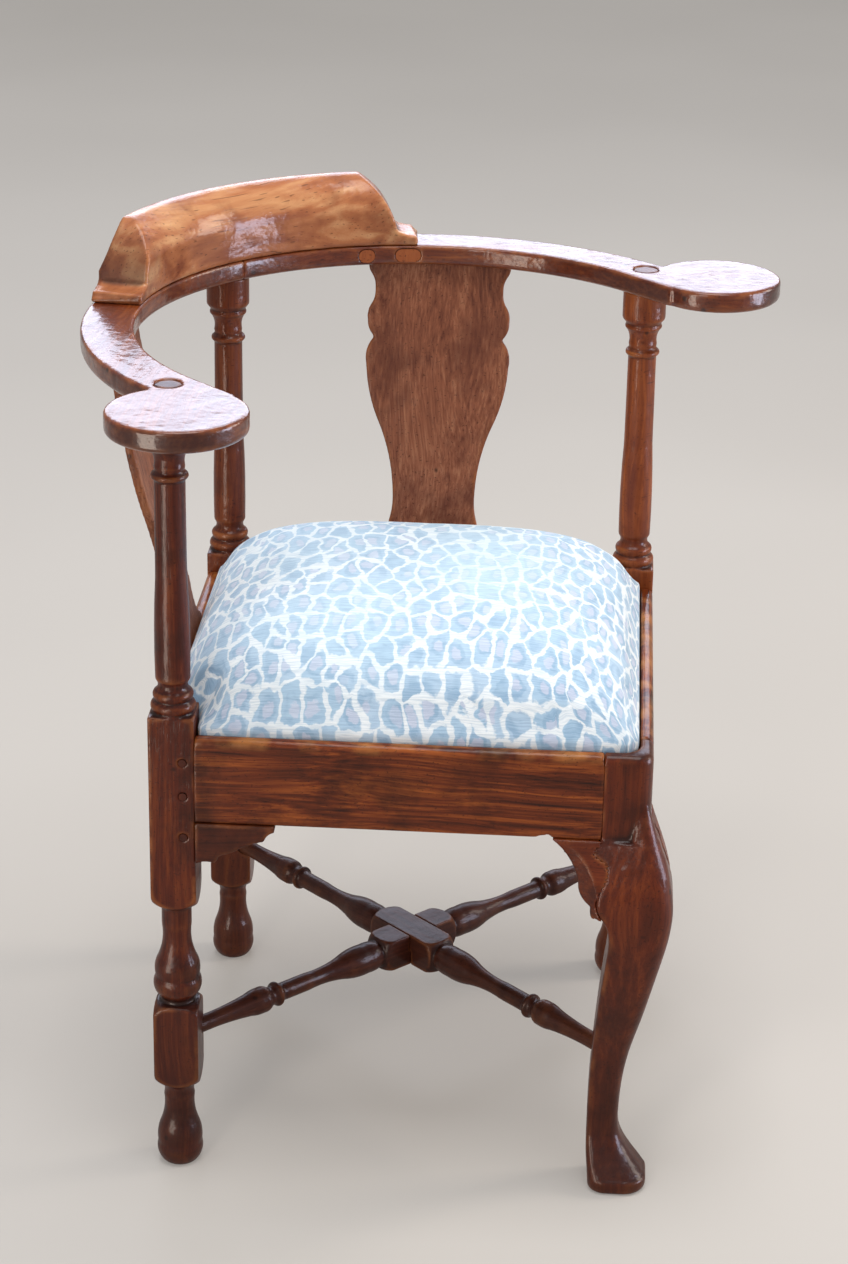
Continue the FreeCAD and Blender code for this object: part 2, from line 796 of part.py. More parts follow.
# Brackets under the front rails, drawn across +X like the rails.
def side_bracket(label, label_rail):
    """The long bracket beside a side post."""
    end = -leg_end[label_rail]
    base = S.half_span - half_post
    length, height, nose = S.side_bracket_length, S.side_bracket_height, S.side_bracket_nose
    top = S.rail_bottom
    points = [
        (base, top - height),
        (base, top),
        (base - length, top),
        (base - length + 1.2, top - nose * 0.4, 0.16),
        (base - length + 10, top - nose, 0.03),
        (base - length + 31, top - height + 18, -0.05),
        (base - length + 52, top - height + 9, -0.16),
        (base - length + 56, top - height + 2, 0.12),
    ]
    outer = S.half_span + S.rail_face + S.side_bracket_proud
    bracket(label, label_rail, points, end, outer, S.side_bracket_thickness, -1)


def knee_bracket(label, label_rail):
    """The shaped ear between a front rail and the knee."""
    end = leg_end[label_rail]
    base = S.half_span - half_block
    length, height = S.knee_bracket_length, S.knee_bracket_height
    top = S.rail_bottom
    into_leg = base + S.knee_bracket_scribe
    points = [
        (into_leg, top - height),
        (into_leg, top),
        (base - length, top, 0.11),
        (base - length + 26, top - 40, -0.16),
        (base - 7, top - height + 16, -0.1),
        (base - 6, top - height + 5, 0.2),
    ]
    outer = S.half_span + S.rail_face + S.knee_bracket_leg_proud
    thickness = S.knee_bracket_thickness + S.knee_bracket_leg_proud
    bracket(label, label_rail, points, end, outer, thickness, 1)


def bracket(label, label_rail, points, end, outer, thickness, which):
    side = 1 if which * leg_end[label_rail] > 0 else -1
    flat = [(side * size_of(p[0]),) + tuple(p[1:]) for p in points]
    # The points run clockwise from the post's side, so they are turned round for +Y.
    flat = reversed_outline(flat) if side > 0 else flat
    body = prism(label + "_blank", "YZ_Plane", flat, thickness, outer - thickness)
    holes = []
    for i, (x, y, z, length) in enumerate(nail_places(which, leg_end[label_rail])):
        deep = S.nail_head_thickness + 60
        holes.append(rod("%s_nail_hole_%d" % (label, i), S.nail_radius, (x, y, z), (0, 0, 1), length))
        holes.append(rod("%s_head_hole_%d" % (label, i), S.nail_head_radius,
                         (x, y, z - 60), (0, 0, 1), deep))
    if which > 0:
        holes.append(knee_sweep(label + "_sweep", side, outer))
        holes.append(knee_fall(label + "_fall", outer))
        leg = free_shape(label + "_leg", curved_leg_shape())
        leg.Placement.Rotation = FreeCAD.Rotation(Vector(0, 0, 1), 0 if side > 0 else -90)
        holes.append(leg)
    place(cut(label + "_cut", body, holes), label, rail_turns[label_rail])


def reversed_outline(points):
    """The same outline walked the other way, each arc kept on its own side and swelling outwards."""
    turned_round = []
    count = len(points)
    for i in range(count):
        here = points[-i % count]
        side_after = points[(-i - 1) % count]
        swell = side_after[2] if len(side_after) > 2 else 0.0
        turned_round.append((here[0], here[1], swell))
    return turned_round


def knee_sweep(name, side, outer):
    """What is carved off the front of a knee bracket, so that its face runs from the knee to the rail."""
    leg_side = S.half_span - half_block
    tip = leg_side - S.knee_bracket_length
    nose = S.half_span + S.rail_face + S.knee_bracket_nose_proud
    points = [
        (nose, side * (tip - 5)),
        (outer + 10, side * (tip - 5)),
        (outer + 10, side * (leg_side + 3)),
        (outer, side * leg_side, 0.08),
        (nose, side * (tip + 4)),
    ]
    if side < 0:
        points = reversed_outline(points)
    return prism(name, "XY_Plane", points, 120, S.rail_bottom - 110)


def knee_fall(name, outer):
    """What is carved off the top of a knee bracket's face, down from the rail to the knee."""
    top = S.rail_bottom
    near = S.half_span + S.rail_face + S.knee_bracket_nose_proud
    low = top - S.knee_bracket_fall
    return prism(name, "XZ_Plane", [
        (outer, low),
        (outer + 10, low),
        (outer + 10, top + 5),
        (near, top + 5),
        (near, top, -0.06),
    ], long * 2, -long)


def bracket_nails():
    """Two nails up through each bracket, with their heads set flush."""
    nails = []
    for label, end in leg_end.items():
        for which in (1, -1):
            for i, (x, y, z, length) in enumerate(nail_places(which, end)):
                name = "nail_%s_%d_%d" % (label, which, i)
                shank = rod(name + "_shank", S.nail_radius, (x, y, z), (0, 0, 1), length)
                head = rod(name + "_head", S.nail_head_radius, (x, y, z - S.nail_head_thickness),
                           (0, 0, 1), S.nail_head_thickness)
                nail = join(name, [shank, head])
                nail.Placement = FreeCAD.Placement(Vector(0, 0, 0),
                                                   FreeCAD.Rotation(Vector(0, 0, 1), rail_turns[label]))
                nails.append(nail)
    group = fresh("Part::Compound", "nail_group")
    group.Links = nails
    place(group, "bracket_nails")


# Arms: two quarter bows that butt over the back post, each with a round handrest.
def arm_blank(label, side):
    level = (S.arm_underside, arm_top)
    outer = rod(label + "_outer", S.bow_outer_radius, (0, 0, S.arm_underside), (0, 0, 1), S.arm_thickness)
    inner = rod(label + "_inner", S.bow_inner_radius, (0, 0, S.arm_underside - 5), (0, 0, 1),
                S.arm_thickness + 10)
    ring = cut(label + "_ring", outer, [inner])
    if side > 0:
        half = box(label + "_half", (0, long), (0, long), level)
        neck = (S.bow_inner_radius, S.bow_outer_radius)
    else:
        half = box(label + "_half", (-long, 0), (0, long), level)
        neck = (-S.bow_outer_radius, -S.bow_inner_radius)
    quarter = shared(label + "_quarter", [ring, half])
    straight = box(label + "_straight", neck, (-S.handrest_ahead, 0), level)
    rest = rod(label + "_rest", S.handrest_radius, (side * S.handrest_side, -S.handrest_ahead,
               S.arm_underside), (0, 0, 1), S.arm_thickness)
    whole = join(label + "_whole", [quarter, straight, rest])
    whole.Refine = True
    doc.recompute()
    return whole


def level_edges(level):
    """A test for the outline's edges on one level, without the butt joint's edge and the notch."""
    def chosen(edge):
        b = edge.BoundBox
        on_level = abs(b.ZMin - level) < 0.01 and b.ZLength < 0.01
        on_joint = abs(b.XMin) < 0.01 and abs(b.XMax) < 0.01
        return on_level and not on_joint
    return chosen


def arm(label, side):
    blank = arm_blank(label, side)
    top = round_over(label + "_top", blank, S.arm_top_round, level_edges(arm_top.number))
    doc.recompute()
    rounded = round_over(label + "_rounded", top, S.arm_bottom_round,
                         level_edges(S.arm_underside.number))
    holes = []
    tenon = S.post_tenon_radius + fit
    for x, y in ((side * post_reach, 0), (0, post_reach)):
        holes.append(rod(label + "_tenon_hole", tenon, (x, y, S.arm_underside - 5), (0, 0, 1),
                         S.arm_thickness + 10))
    holes.append(rod(label + "_dowel_hole", S.arm_dowel_radius,
                     (-S.arm_dowel_length / 2, S.arm_dowel_bow_radius,
                      S.arm_underside + S.arm_thickness / 2),
                     (1, 0, 0), S.arm_dowel_length))
    x = splat_top_span()
    half = S.splat_tenon_half + fit
    turn = to_back_right if side > 0 else to_back_left
    holes.append(box(label + "_splat_slot", (x[0], x[1]), (-half, half),
                     (S.arm_underside - 5,
                      S.arm_underside + S.splat_tenon_top + S.tenon_end_clearance), turn))
    for angle in (S.screw_inner_angle, S.screw_outer_angle):
        x, y = on_bow(angle, side, screw_reach)
        name = "%s_screw_%d" % (label, int(angle.number))
        holes.append(rod(name + "_hole", S.screw_radius, (x, y, S.arm_underside), (0, 0, 1),
                         S.arm_thickness + 5))
        holes.append(rod(name + "_sink", S.screw_head_radius + fit, (x, y, S.arm_underside - 5),
                         (0, 0, 1), S.screw_sink + S.screw_head_thickness + 5))
    if side > 0:
        holes += [plug("%s_plug_hole_%d" % (label, i), angle, width)
                  for i, (angle, width) in enumerate(plug_places)]
    place(cut(label + "_cut", rounded, holes), label)


def on_bow(angle, side, reach):
    """A point on the bow at an angle from the back, to the right for side 1."""
    a = math.radians(angle.number)
    text = angle.text
    x = reach * Size(math.sin(a), "sin(%s * 1 deg)" % text) * side
    y = reach * Size(math.cos(a), "cos(%s * 1 deg)" % text)
    return x, y


screw_reach = (S.bow_inner_radius + S.bow_outer_radius) / 2 + 2
plug_places = [(S.small_plug_angle, S.small_plug_width), (S.large_plug_angle, S.large_plug_width)]


def plug(name, angle, width, ease=0.0):
    """An oval plug through the arm's inner face, pointing to the middle of the bow."""
    straight = (width - S.plug_height) / 2
    r = S.plug_height / 2
    middle = S.arm_underside + S.arm_thickness / 2
    points = [
        (-straight, middle - r),
        (straight, middle - r, 0.4999),
        (straight, middle + r),
        (-straight, middle + r, 0.4999),
    ]
    bar = prism(name + "_bar", "YZ_Plane", points, 40, S.bow_inner_radius - 20)
    ring = rod(name + "_end", S.bow_inner_radius + S.plug_depth, (0, 0, S.arm_underside),
               (0, 0, 1), S.arm_thickness)
    made = shared(name, [bar, ring])
    made.Placement.Rotation = FreeCAD.Rotation(Vector(0, 0, 1), 90 - angle.number)
    bind(made, "Placement.Rotation.Angle", 90 - angle)
    return made


def arm_plugs():
    made = []
    for i, (angle, width) in enumerate(plug_places):
        oval = plug("plug_%d_blank" % i, angle, width)
        core = rod("plug_%d_core" % i, S.bow_inner_radius, (0, 0, S.arm_underside - 5), (0, 0, 1),
                   S.arm_thickness + 10)
        made.append(cut("plug_%d" % i, oval, [core]))
    group = fresh("Part::Compound", "plug_group")
    group.Links = made
    place(group, "arm_plugs")


# Crest over the back of the bow.
def crest():
    foot = arm_top
    top = foot + S.crest_height
    inner, outer = S.bow_inner_radius, S.bow_outer_radius
    edge = S.crest_edge_radius
    lean = outer - S.crest_outer_slope
    body = fresh("PartDesign::Body", "crest_ring")
    section = outline(body, "XZ_Plane", [
        (inner, foot),
        (outer, foot),
        (outer, foot + S.crest_outer_foot, -0.05),
        (lean, top - edge, 0.2071),
        (lean - edge, top),
        (inner + S.crest_roll_back, top, 0.127),
        (inner, top - S.crest_roll_height),
    ])
    turn = body.newObject("PartDesign::Revolution", "crest_turning")
    turn.Profile = section
    turn.ReferenceAxis = (section, ["V_Axis"])
    bind(turn, "Angle", S.crest_end_angle * 2)
    turn.Midplane = True
    body.Tip = turn
    made = cut("crest_cut", body, [crest_end("crest_left_end", 1), crest_end("crest_right_end", -1)]
               + crest_screw_holes())
    place(made, "crest", 90.0)


def crest_end(name, side):
    """What is cut away over one end: a steep hollow ramp, a groove and a low round bead."""
    middle = (S.crest_top_angle + S.crest_end_angle) / 2
    radius = (S.bow_inner_radius + S.bow_outer_radius) / 2
    foot = arm_top
    top = foot + S.crest_height

    def along(angle):
        return (angle - middle) * radius * (math.pi / 180)

    points = [
        (along(S.crest_top_angle), top + 5),
        (along(S.crest_top_angle), top, -0.1),
        (along(S.crest_groove_angle), foot + S.crest_groove_height + 2.5),
        (along(S.crest_groove_angle) + 0.8, foot + S.crest_groove_height - 1.5, 0.06),
        (along(S.crest_end_angle) - 3, foot + S.crest_bead_height - 8, 0.25),
        (along(S.crest_end_angle), foot + S.crest_bead_nose_height),
        (along(S.crest_end_angle) + 10, foot + S.crest_bead_nose_height),
        (along(S.crest_end_angle) + 10, top + 5),
    ]
    if side < 0:
        points = [(-size_of(p[0]),) + tuple(p[1:]) for p in points]
        points = reversed_outline(points)
    made = prism(name, "YZ_Plane", points, 90, S.bow_inner_radius - 20)
    made.Placement.Rotation = FreeCAD.Rotation(Vector(0, 0, 1), side * middle.number)
    bind(made, "Placement.Rotation.Angle", side * middle)
    return made


def crest_screw_holes():
    holes = []
    for side in (1, -1):
        for angle in (S.screw_inner_angle, S.screw_outer_angle):
            x, y = on_bow(angle, side, screw_reach)
            holes.append(rod("crest_hole_%d_%d" % (side, int(angle.number)), S.screw_radius,
                             (y, -x, arm_top - 5), (0, 0, 1),
                             S.screw_length + S.screw_sink + S.screw_head_thickness - S.arm_thickness + 5))
    return holes


def crest_screws():
    made = []
    for side in (1, -1):
        for angle in (S.screw_inner_angle, S.screw_outer_angle):
            x, y = on_bow(angle, side, screw_reach)
            name = "screw_%d_%d" % (side, int(angle.number))
            low = S.arm_underside + S.screw_sink
            head = rod(name + "_head", S.screw_head_radius, (x, y, low), (0, 0, 1), S.screw_head_thickness)
            shank = rod(name + "_shank", S.screw_radius, (x, y, low), (0, 0, 1),
                        S.screw_length + S.screw_head_thickness)
            made.append(join(name, [head, shank]))
    group = fresh("Part::Compound", "screw_group")
    group.Links = made
    place(group, "crest_screws")


def arm_dowel():
    made = rod("dowel", S.arm_dowel_radius,
               (-S.arm_dowel_length / 2, S.arm_dowel_bow_radius, S.arm_underside + S.arm_thickness / 2),
               (1, 0, 0), S.arm_dowel_length)
    holder = fresh("Part::Compound", "dowel_holder")
    holder.Links = [made]
    place(holder, "arm_dowel")


# Splats, drawn across +X like the rails and leaning outwards.
splat_face = S.half_span + lip_inside + 0.5
splat_rise = S.arm_underside - S.rail_top
splat_length = root(splat_rise * splat_rise + S.splat_lean * S.splat_lean)
lean_share = S.splat_lean / splat_rise


def splat_tenon_span():
    """The lower tenon's faces, in the lip of the rail."""
    low = S.half_span + lip_inside + 2.5
    return low, low + S.splat_tenon_thickness


def splat_top_span():
    """The slot in the arm: from the leaning splat's inner face under the arm to its outer face above."""
    wide = S.splat_thickness * (splat_length / splat_rise)
    low = splat_face + S.splat_lean
    return low - fit, low + wide + lean_share * S.splat_tenon_top + fit


def splat(label, turn):
    slope = splat_length / splat_rise
    right = [
        (S.splat_plinth_half, 0),
        (S.splat_plinth_half, 6, -0.22),
        (S.splat_foot_half, S.splat_foot_rise, -0.05),
        (S.splat_waist_half, (splat_rise - S.splat_waist_drop) * slope, -0.045),
        (S.splat_waist_half + 14.8, (splat_rise - S.splat_waist_drop + 66) * slope, 0.05),
        (S.splat_shoulder_half, (splat_rise - S.splat_shoulder_drop) * slope, 0.13),
        (S.splat_cusp_half, (splat_rise - S.splat_cusp_drop) * slope, 0.12),
        (S.splat_ear_half, (splat_rise - S.splat_ear_drop) * slope, 0.1),
        (S.splat_ear_half - 4, (splat_rise - S.splat_ear_drop + 16) * slope, -0.08),
        (S.splat_neck_half, (splat_rise - S.splat_neck_drop) * slope, -0.1),
        (S.splat_top_half - 2, (splat_rise - 11) * slope, 0.08),
        (S.splat_top_half, splat_length, 0.0),
        (S.splat_top_half, splat_length + 25),
    ]
    left = [(-size_of(p[0]), p[1]) for p in right]
    left.reverse()
    swells = [p[2] if len(p) > 2 else 0.0 for p in right]
    left_swells = swells[:-1]
    left_swells.reverse()
    left = [(p[0], p[1], swell) for p, swell in zip(left, left_swells + [0.0])]
    points = [(S.splat_plinth_half, -20)] + right + left + [(-S.splat_plinth_half, -20)]
    slab = prism(label + "_slab", "YZ_Plane", points, S.splat_thickness)
    bind(slab, "Placement.Base.x", splat_face)
    bind(slab, "Placement.Base.z", S.rail_top)
    slab.Placement.Rotation = FreeCAD.Rotation(Vector(0, 1, 0), math.degrees(math.atan(lean_share.number)))
    bind(slab, "Placement.Rotation.Angle", Size(0, "atan(%s)" % lean_share.text))
    window = box(label + "_window", (0, long), (-long / 2, long / 2), (S.rail_top, S.arm_underside))
    upper = box(label + "_upper", (0, long), (-S.splat_tenon_half, S.splat_tenon_half),
                (S.arm_underside - 5, S.arm_underside + S.splat_tenon_top))
    x = splat_tenon_span()
    half = S.splat_foot_half - 5
    visible = shared(label + "_visible", [slab, join(label + "_windows", [window, upper])])
    lower = box(label + "_lower", x, (-half, half), (S.rail_top - S.splat_tenon_bottom, S.rail_top + 1))
    place(join(label + "_whole", [visible, lower]), label, turn)


# Crossed stretchers, drawn upright about their middle and laid down.
def stretcher(label, turn, notch_above, reach_low, reach_high):
    ring_low = S.stretcher_ring_place - S.stretcher_ring_thickness / 2
    ring_high = S.stretcher_ring_place + S.stretcher_ring_thickness / 2
    ring = S.stretcher_ring_radius - 0.35 * S.stretcher_ring_thickness
    blank = S.stretcher_width * math.sqrt(0.5)
    shoulder = S.stretcher_block_half - S.stretcher_block_shoulder

    def half_outline(end):
        """Radius and place of the turning from the block out to one end."""
        return [
            (blank, shoulder, 0.2),
            (S.stretcher_root_radius, S.stretcher_block_half, 0.06),
            (S.stretcher_swell_radius, S.stretcher_swell_place, 0.05),
            (S.stretcher_swell_radius - 3.4, S.stretcher_swell_place + 30, -0.04),
            (S.stretcher_waist_radius, S.stretcher_waist_place - 30, 0.0),
            (S.stretcher_waist_radius, ring_low - 1, 0.0),
            (ring, ring_low, 0.35),
            (ring, ring_high, -0.12),
            (S.stretcher_reel_radius, S.stretcher_bulb_place - 9, 0.12),
            (S.stretcher_bulb_radius, S.stretcher_bulb_place, 0.05),
            (S.stretcher_bulb_radius - 1.5, S.stretcher_bulb_place + 14, -0.02),
            (S.stretcher_end_radius, end - S.socket_depth, 0.0),
            (S.stretcher_end_radius, end, 0.0),
        ]

    up = half_outline(reach_high)
    down = [(p[0], -size_of(p[1]), p[2]) for p in half_outline(reach_low)]
    down.reverse()
    swells = [p[2] for p in down]
    down = [(p[0], p[1], swell) for p, swell in zip(down, swells[1:] + [0.0])]
    points = [(0, -reach_low)] + down + up + [(0, reach_high)]
    turning = turned(label + "_turning", points)
    half = S.stretcher_width / 2
    bar = box(label + "_bar", (-half, half), (-half, half), (-long, long))
    square_work = shared(label + "_squared", [turning, bar])
    notch = (-50, 0) if notch_above else (0, 50)
    slot = box(label + "_slot", notch, (-50, 50), (-half, half))
    laid = cut(label + "_cut", square_work, [slot])
    laid.Label = label
    lie = FreeCAD.Rotation(Vector(0, 1, 0), -90).multiply(FreeCAD.Rotation(Vector(0, 0, 1), 180))
    laid.Placement = FreeCAD.Placement(Vector(0, 0, 0),
                                       FreeCAD.Rotation(Vector(0, 0, 1), turn).multiply(lie))
    bind(laid, "Placement.Base.y", S.middle_to_origin)
    bind(laid, "Placement.Base.z", S.stretcher_height)
    nodes.append(laid)


def joint_pegs():
    """All the pegs: two through each rail tenon in the posts, and one low on each side post."""
    pegs = []
    for label, turn in post_turns.items():
        places = list(peg_places())
        if label in bracket_peg_sides:
            start, along = bracket_peg_place(bracket_peg_sides[label])
            places.append((start, along, S.bracket_peg_length))
        for i, (start, along, length) in enumerate(places):
            holder = fresh("Part::Compound", "peg_%s_%d_holder" % (label, i))
            holder.Links = [rod("peg_%s_%d" % (label, i), S.peg_radius, start, along, length)]
            holder.Placement = FreeCAD.Placement(Vector(0, 0, 0), FreeCAD.Rotation(Vector(0, 0, 1), turn))
            pegs.append(holder)
    group = fresh("Part::Compound", "peg_group")
    group.Links = pegs
    place(group, "joint_pegs")


# Drop-in seat, drawn square to the rails about the seat's middle.
cover_outside = S.half_span + lip_inside - S.seat_gap
slip_outside = cover_outside - S.cover_thickness
notch_cover = S.half_span - half_post - S.seat_gap
notch_slip = notch_cover - S.cover_thickness
tack_bottom = ledge + S.seat_rest_gap
hem_bottom = tack_bottom + S.tack_head_thickness
slip_bottom = hem_bottom + S.cover_thickness
slip_top = slip_bottom + S.slip_thickness
strap_low = slip_top
strap_high = strap_low + S.strap_thickness
cloth_bottom = strap_high + S.strap_thickness
pad_bottom = cloth_bottom + S.base_cloth_thickness


def corner_notches(name, inside, bottom, top):
    """Boxes over the three posts' corners."""
    found = []
    for i, (sx, sy) in enumerate(((1, 1), (1, -1), (-1, 1))):
        x = (inside, inside + 80) if sx > 0 else (-(inside + 80), -inside)
        y = (inside, inside + 80) if sy > 0 else (-(inside + 80), -inside)
        found.append(box("%s_notch_%d" % (name, i), x, y, (bottom, top)))
    return found


def front_corner(name, outside, radius, bottom, height):
    """What is cut off the seat's square front corner to round it."""
    o = -outside
    return prism(name, "XY_Plane", [
        (o - 5, o - 5),
        (o + radius, o - 5),
        (o + radius, o, -0.2071),
        (o, o + radius),
        (o - 5, o + radius),
    ], height, bottom)


def slip_member(label, along_x, sign):
    """One side of the slip frame. The sides along Y run through, those along X fit between."""
    outer, width = slip_outside, S.slip_width
    span = (outer - width, outer) if sign > 0 else (-outer, -(outer - width))
    if along_x:
        blank = box(label + "_blank", (-(outer - width), outer - width), span, (slip_bottom, slip_top))
    else:
        blank = box(label + "_blank", span, (-outer, outer), (slip_bottom, slip_top))
    holes = corner_notches(label, notch_slip, slip_bottom - 5, slip_top + 5)
    holes.append(front_corner(label + "_corner", outer, S.seat_corner_radius, slip_bottom - 5,
                              S.slip_thickness + 10))
    holes += slip_dowels(label + "_hole")
    holes += tack_shanks(label + "_tack", side_tacks(along_x, sign))
    place(cut(label + "_cut", blank, holes), label, to_back_right)


def slip_dowels(name):
    """Two dowels across each corner joint of the slip frame."""
    made = []
    joint = slip_outside - S.slip_width
    middle = slip_bottom + S.slip_thickness / 2
    for sx in (1, -1):
        for sy in (1, -1):
            for i, inset in enumerate((36, 44)):
                start = joint * sx - sx * (S.slip_dowel_length / 2)
                y = sy * (slip_outside - inset)
                made.append(rod("%s_%d_%d_%d" % (name, sx, sy, i), S.slip_dowel_radius / 1.6,
                                (start, y, middle), (sx, 0, 0), S.slip_dowel_length))
    return made


def side_tacks(along_x, sign):
    """Tack places under one side: across and along, measured from the middle."""
    line = sign * (slip_outside - S.hem_width / 2)
    count = 4
    spots = [S.tack_spacing * (i - (count - 1) / 2) for i in range(count)]
    if along_x:
        return [(spot, line) for spot in spots]
    return [(line, spot) for spot in spots]


def tack_shanks(name, spots):
    return [rod("%s_%d" % (name, i), S.tack_radius, (x, y, hem_bottom), (0, 0, 1), S.tack_length)
            for i, (x, y) in enumerate(spots)]


slip_sides = {
    "seat_slip_back_right": (False, 1),
    "seat_slip_back_left": (True, 1),
    "seat_slip_front_left": (False, -1),
    "seat_slip_front_right": (True, -1),
}


def seat_dowels():
    group = fresh("Part::Compound", "seat_dowel_group")
    group.Links = slip_dowels("seat_dowel")
    place(group, "seat_slip_dowels", to_back_right)


def straps(label, along_x, bottom):
    made = []
    reach = slip_outside - S.slip_width + S.strap_overlap
    for i in (-1, 0, 1):
        middle = S.strap_spacing * i
        across = (middle - S.strap_width / 2, middle + S.strap_width / 2)
        level = (bottom, bottom + S.strap_thickness)
        x, y = ((-reach, reach), across) if along_x else (across, (-reach, reach))
        made.append(box("%s_%d" % (label, i), x, y, level))
    group = fresh("Part::Compound", label + "_group")
    group.Links = made
    place(group, label, to_back_right)


def base_cloth():
    reach = slip_outside - 4
    blank = box("cloth_blank", (-reach, reach), (-reach, reach), (cloth_bottom, pad_bottom))
    notches = corner_notches("cloth", notch_slip - 4, cloth_bottom - 5, pad_bottom + 5)
    notches.append(front_corner("cloth_corner", reach, S.seat_corner_radius, cloth_bottom - 5, 12))
    place(cut("cloth_cut", blank, notches), "seat_base_cloth", to_back_right)


def seat_square(half, radius, height):
    """A round-cornered square about the seat's middle, as a wire."""
    return rounded_loop([(half, half, radius), (-half, half, radius),
                         (-half, -half, radius), (half, -half, radius)], height)


def dome(grow, bottom, name):
    """The seat's crowned body: straight sides in the rebate, then rounded over to the crown."""
    side = slip_outside.number + grow
    top = S.rail_top.number
    crown = S.crown_height.number
    shape = [(0.0, 0.0, 0.0), (0.21, 0.8, 12.0), (0.42, -5.5, 32.0), (0.59, -20.0, 57.0),
             (0.74, -46.0, 77.0), (0.87, -85.0, 79.0), (0.955, -130.0, 48.0), (1.0, -175.0, 10.0)]
    corner = S.seat_corner_radius.number
    wires = [seat_square(side, corner, bottom)]
    for share, step, bend in shape:
        height = top + share * crown + grow * share
        if height < bottom + 5:
            continue
        wires.append(seat_square(side + step, corner + bend, height))
    lower = Part.makeLoft(wires[:2], True, True)
    upper = Part.makeLoft(wires[1:], True, False)
    return free_shape(name, lower.fuse(upper).removeSplitter())


def seat_pad():
    """The stuffing: the dome above the base cloth."""
    solid = dome(0, slip_bottom.number, "pad_dome")
    below = box("pad_below", (-long, long), (-long, long), (0, pad_bottom))
    notches = corner_notches("pad", notch_slip, pad_bottom - 5, S.arm_underside)
    place(cut("pad_cut", solid, [below] + notches), "seat_pad", to_back_right)


def seat_cover():
    """The fabric: the dome's skin, the sides of the slip frame and a hem turned under it."""
    outside = dome(S.cover_thickness.number, hem_bottom.number, "cover_dome")
    corners = corner_notches("cover", notch_cover, hem_bottom - 5, S.arm_underside)
    shell = cut("cover_shell", outside, corners)
    inner = dome(0, slip_bottom.number, "cover_inner")
    inner_cut = cut("cover_hollow", inner, corner_notches("cover_inner", notch_slip, slip_bottom - 5,
                                                         S.arm_underside))
    hem = slip_outside - S.hem_width
    open_bottom = box("cover_open", (-hem, hem), (-hem, hem), (hem_bottom - 5, slip_bottom + 1))
    made = cut("cover_cut", shell, [inner_cut, open_bottom] + all_tack_shanks("cover_tack"))
    place(made, "seat_cover", to_back_right)


def all_tack_shanks(name):
    made = []
    for i, (along_x, sign) in enumerate(slip_sides.values()):
        made += tack_shanks("%s_%d" % (name, i), side_tacks(along_x, sign))
    return made


def seat_tacks():
    tacks = []
    for i, (along_x, sign) in enumerate(slip_sides.values()):
        for j, (x, y) in enumerate(side_tacks(along_x, sign)):
            name = "tack_%d_%d" % (i, j)
            shank = rod(name + "_shank", S.tack_radius, (x, y, hem_bottom), (0, 0, 1), S.tack_length)
            head = rod(name + "_head", S.tack_head_radius, (x, y, tack_bottom), (0, 0, 1),
                       S.tack_head_thickness)
            tacks.append(join(name, [shank, head]))
    group = fresh("Part::Compound", "tack_group")
    group.Links = tacks
    place(group, "seat_tacks", to_back_right)


# The whole chair.
for label in post_turns:
    post(label)
front_leg()
for label in rail_turns:
    rail(label)
side_bracket("left_post_bracket", "front_left_rail")
side_bracket("right_post_bracket", "front_right_rail")
knee_bracket("left_knee_bracket", "front_left_rail")
knee_bracket("right_knee_bracket", "front_right_rail")
bracket_nails()
arm("right_arm", 1)
arm("left_arm", -1)
arm_dowel()
arm_plugs()
crest()
crest_screws()
splat("right_splat", to_back_right)
splat("left_splat", to_back_left)
stretcher("side_stretcher", 0.0, True, post_socket_end, post_socket_end)
stretcher("front_back_stretcher", 90.0, False, post_socket_end, S.leg_socket_reach)
joint_pegs()
for label, (along_x, sign) in slip_sides.items():
    slip_member(label, along_x, sign)
seat_dowels()
straps("seat_straps_lower", True, strap_low)
straps("seat_straps_upper", False, strap_high)
base_cloth()
seat_pad()
seat_cover()
seat_tacks()
doc.recompute()

for thing in doc.Objects:
    if "Invalid" in thing.State or "Error" in thing.State:
        raise RuntimeError("%s failed: %s" % (thing.Name, thing.State))
os.makedirs("parts", exist_ok=True)
for node in nodes:
    shape = node.Shape
    if shape.isNull() or not shape.isValid() or not shape.Solids:
        raise RuntimeError("%s has no valid solid" % node.Label)
    shape.exportStep("parts/%s.step" % node.Label)
    b = shape.optimalBoundingBox(False)
    print("%-24s solids %2d  volume %9.0f  box %.1f..%.1f %.1f..%.1f %.1f..%.1f" % (
        node.Label, len(shape.Solids), shape.Volume, b.XMin, b.XMax, b.YMin, b.YMax, b.ZMin, b.ZMax))
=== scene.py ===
# %% [markdown]
# # A corner chair in old polished wood
# This chair stands cornerwise: one corner of its square seat, on a curved leg, points at you, and
# three turned posts carry a half round bow of two flat arms with a raised crest over its back.
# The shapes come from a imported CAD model. This lesson gives them soft worn arrises, old polish,
# an upholstered seat and a quiet studio. The first cell loads the model, which stays where it is.

# %% Load the chair
import math
import bpy
import bmesh
from mathutils import Matrix, Vector


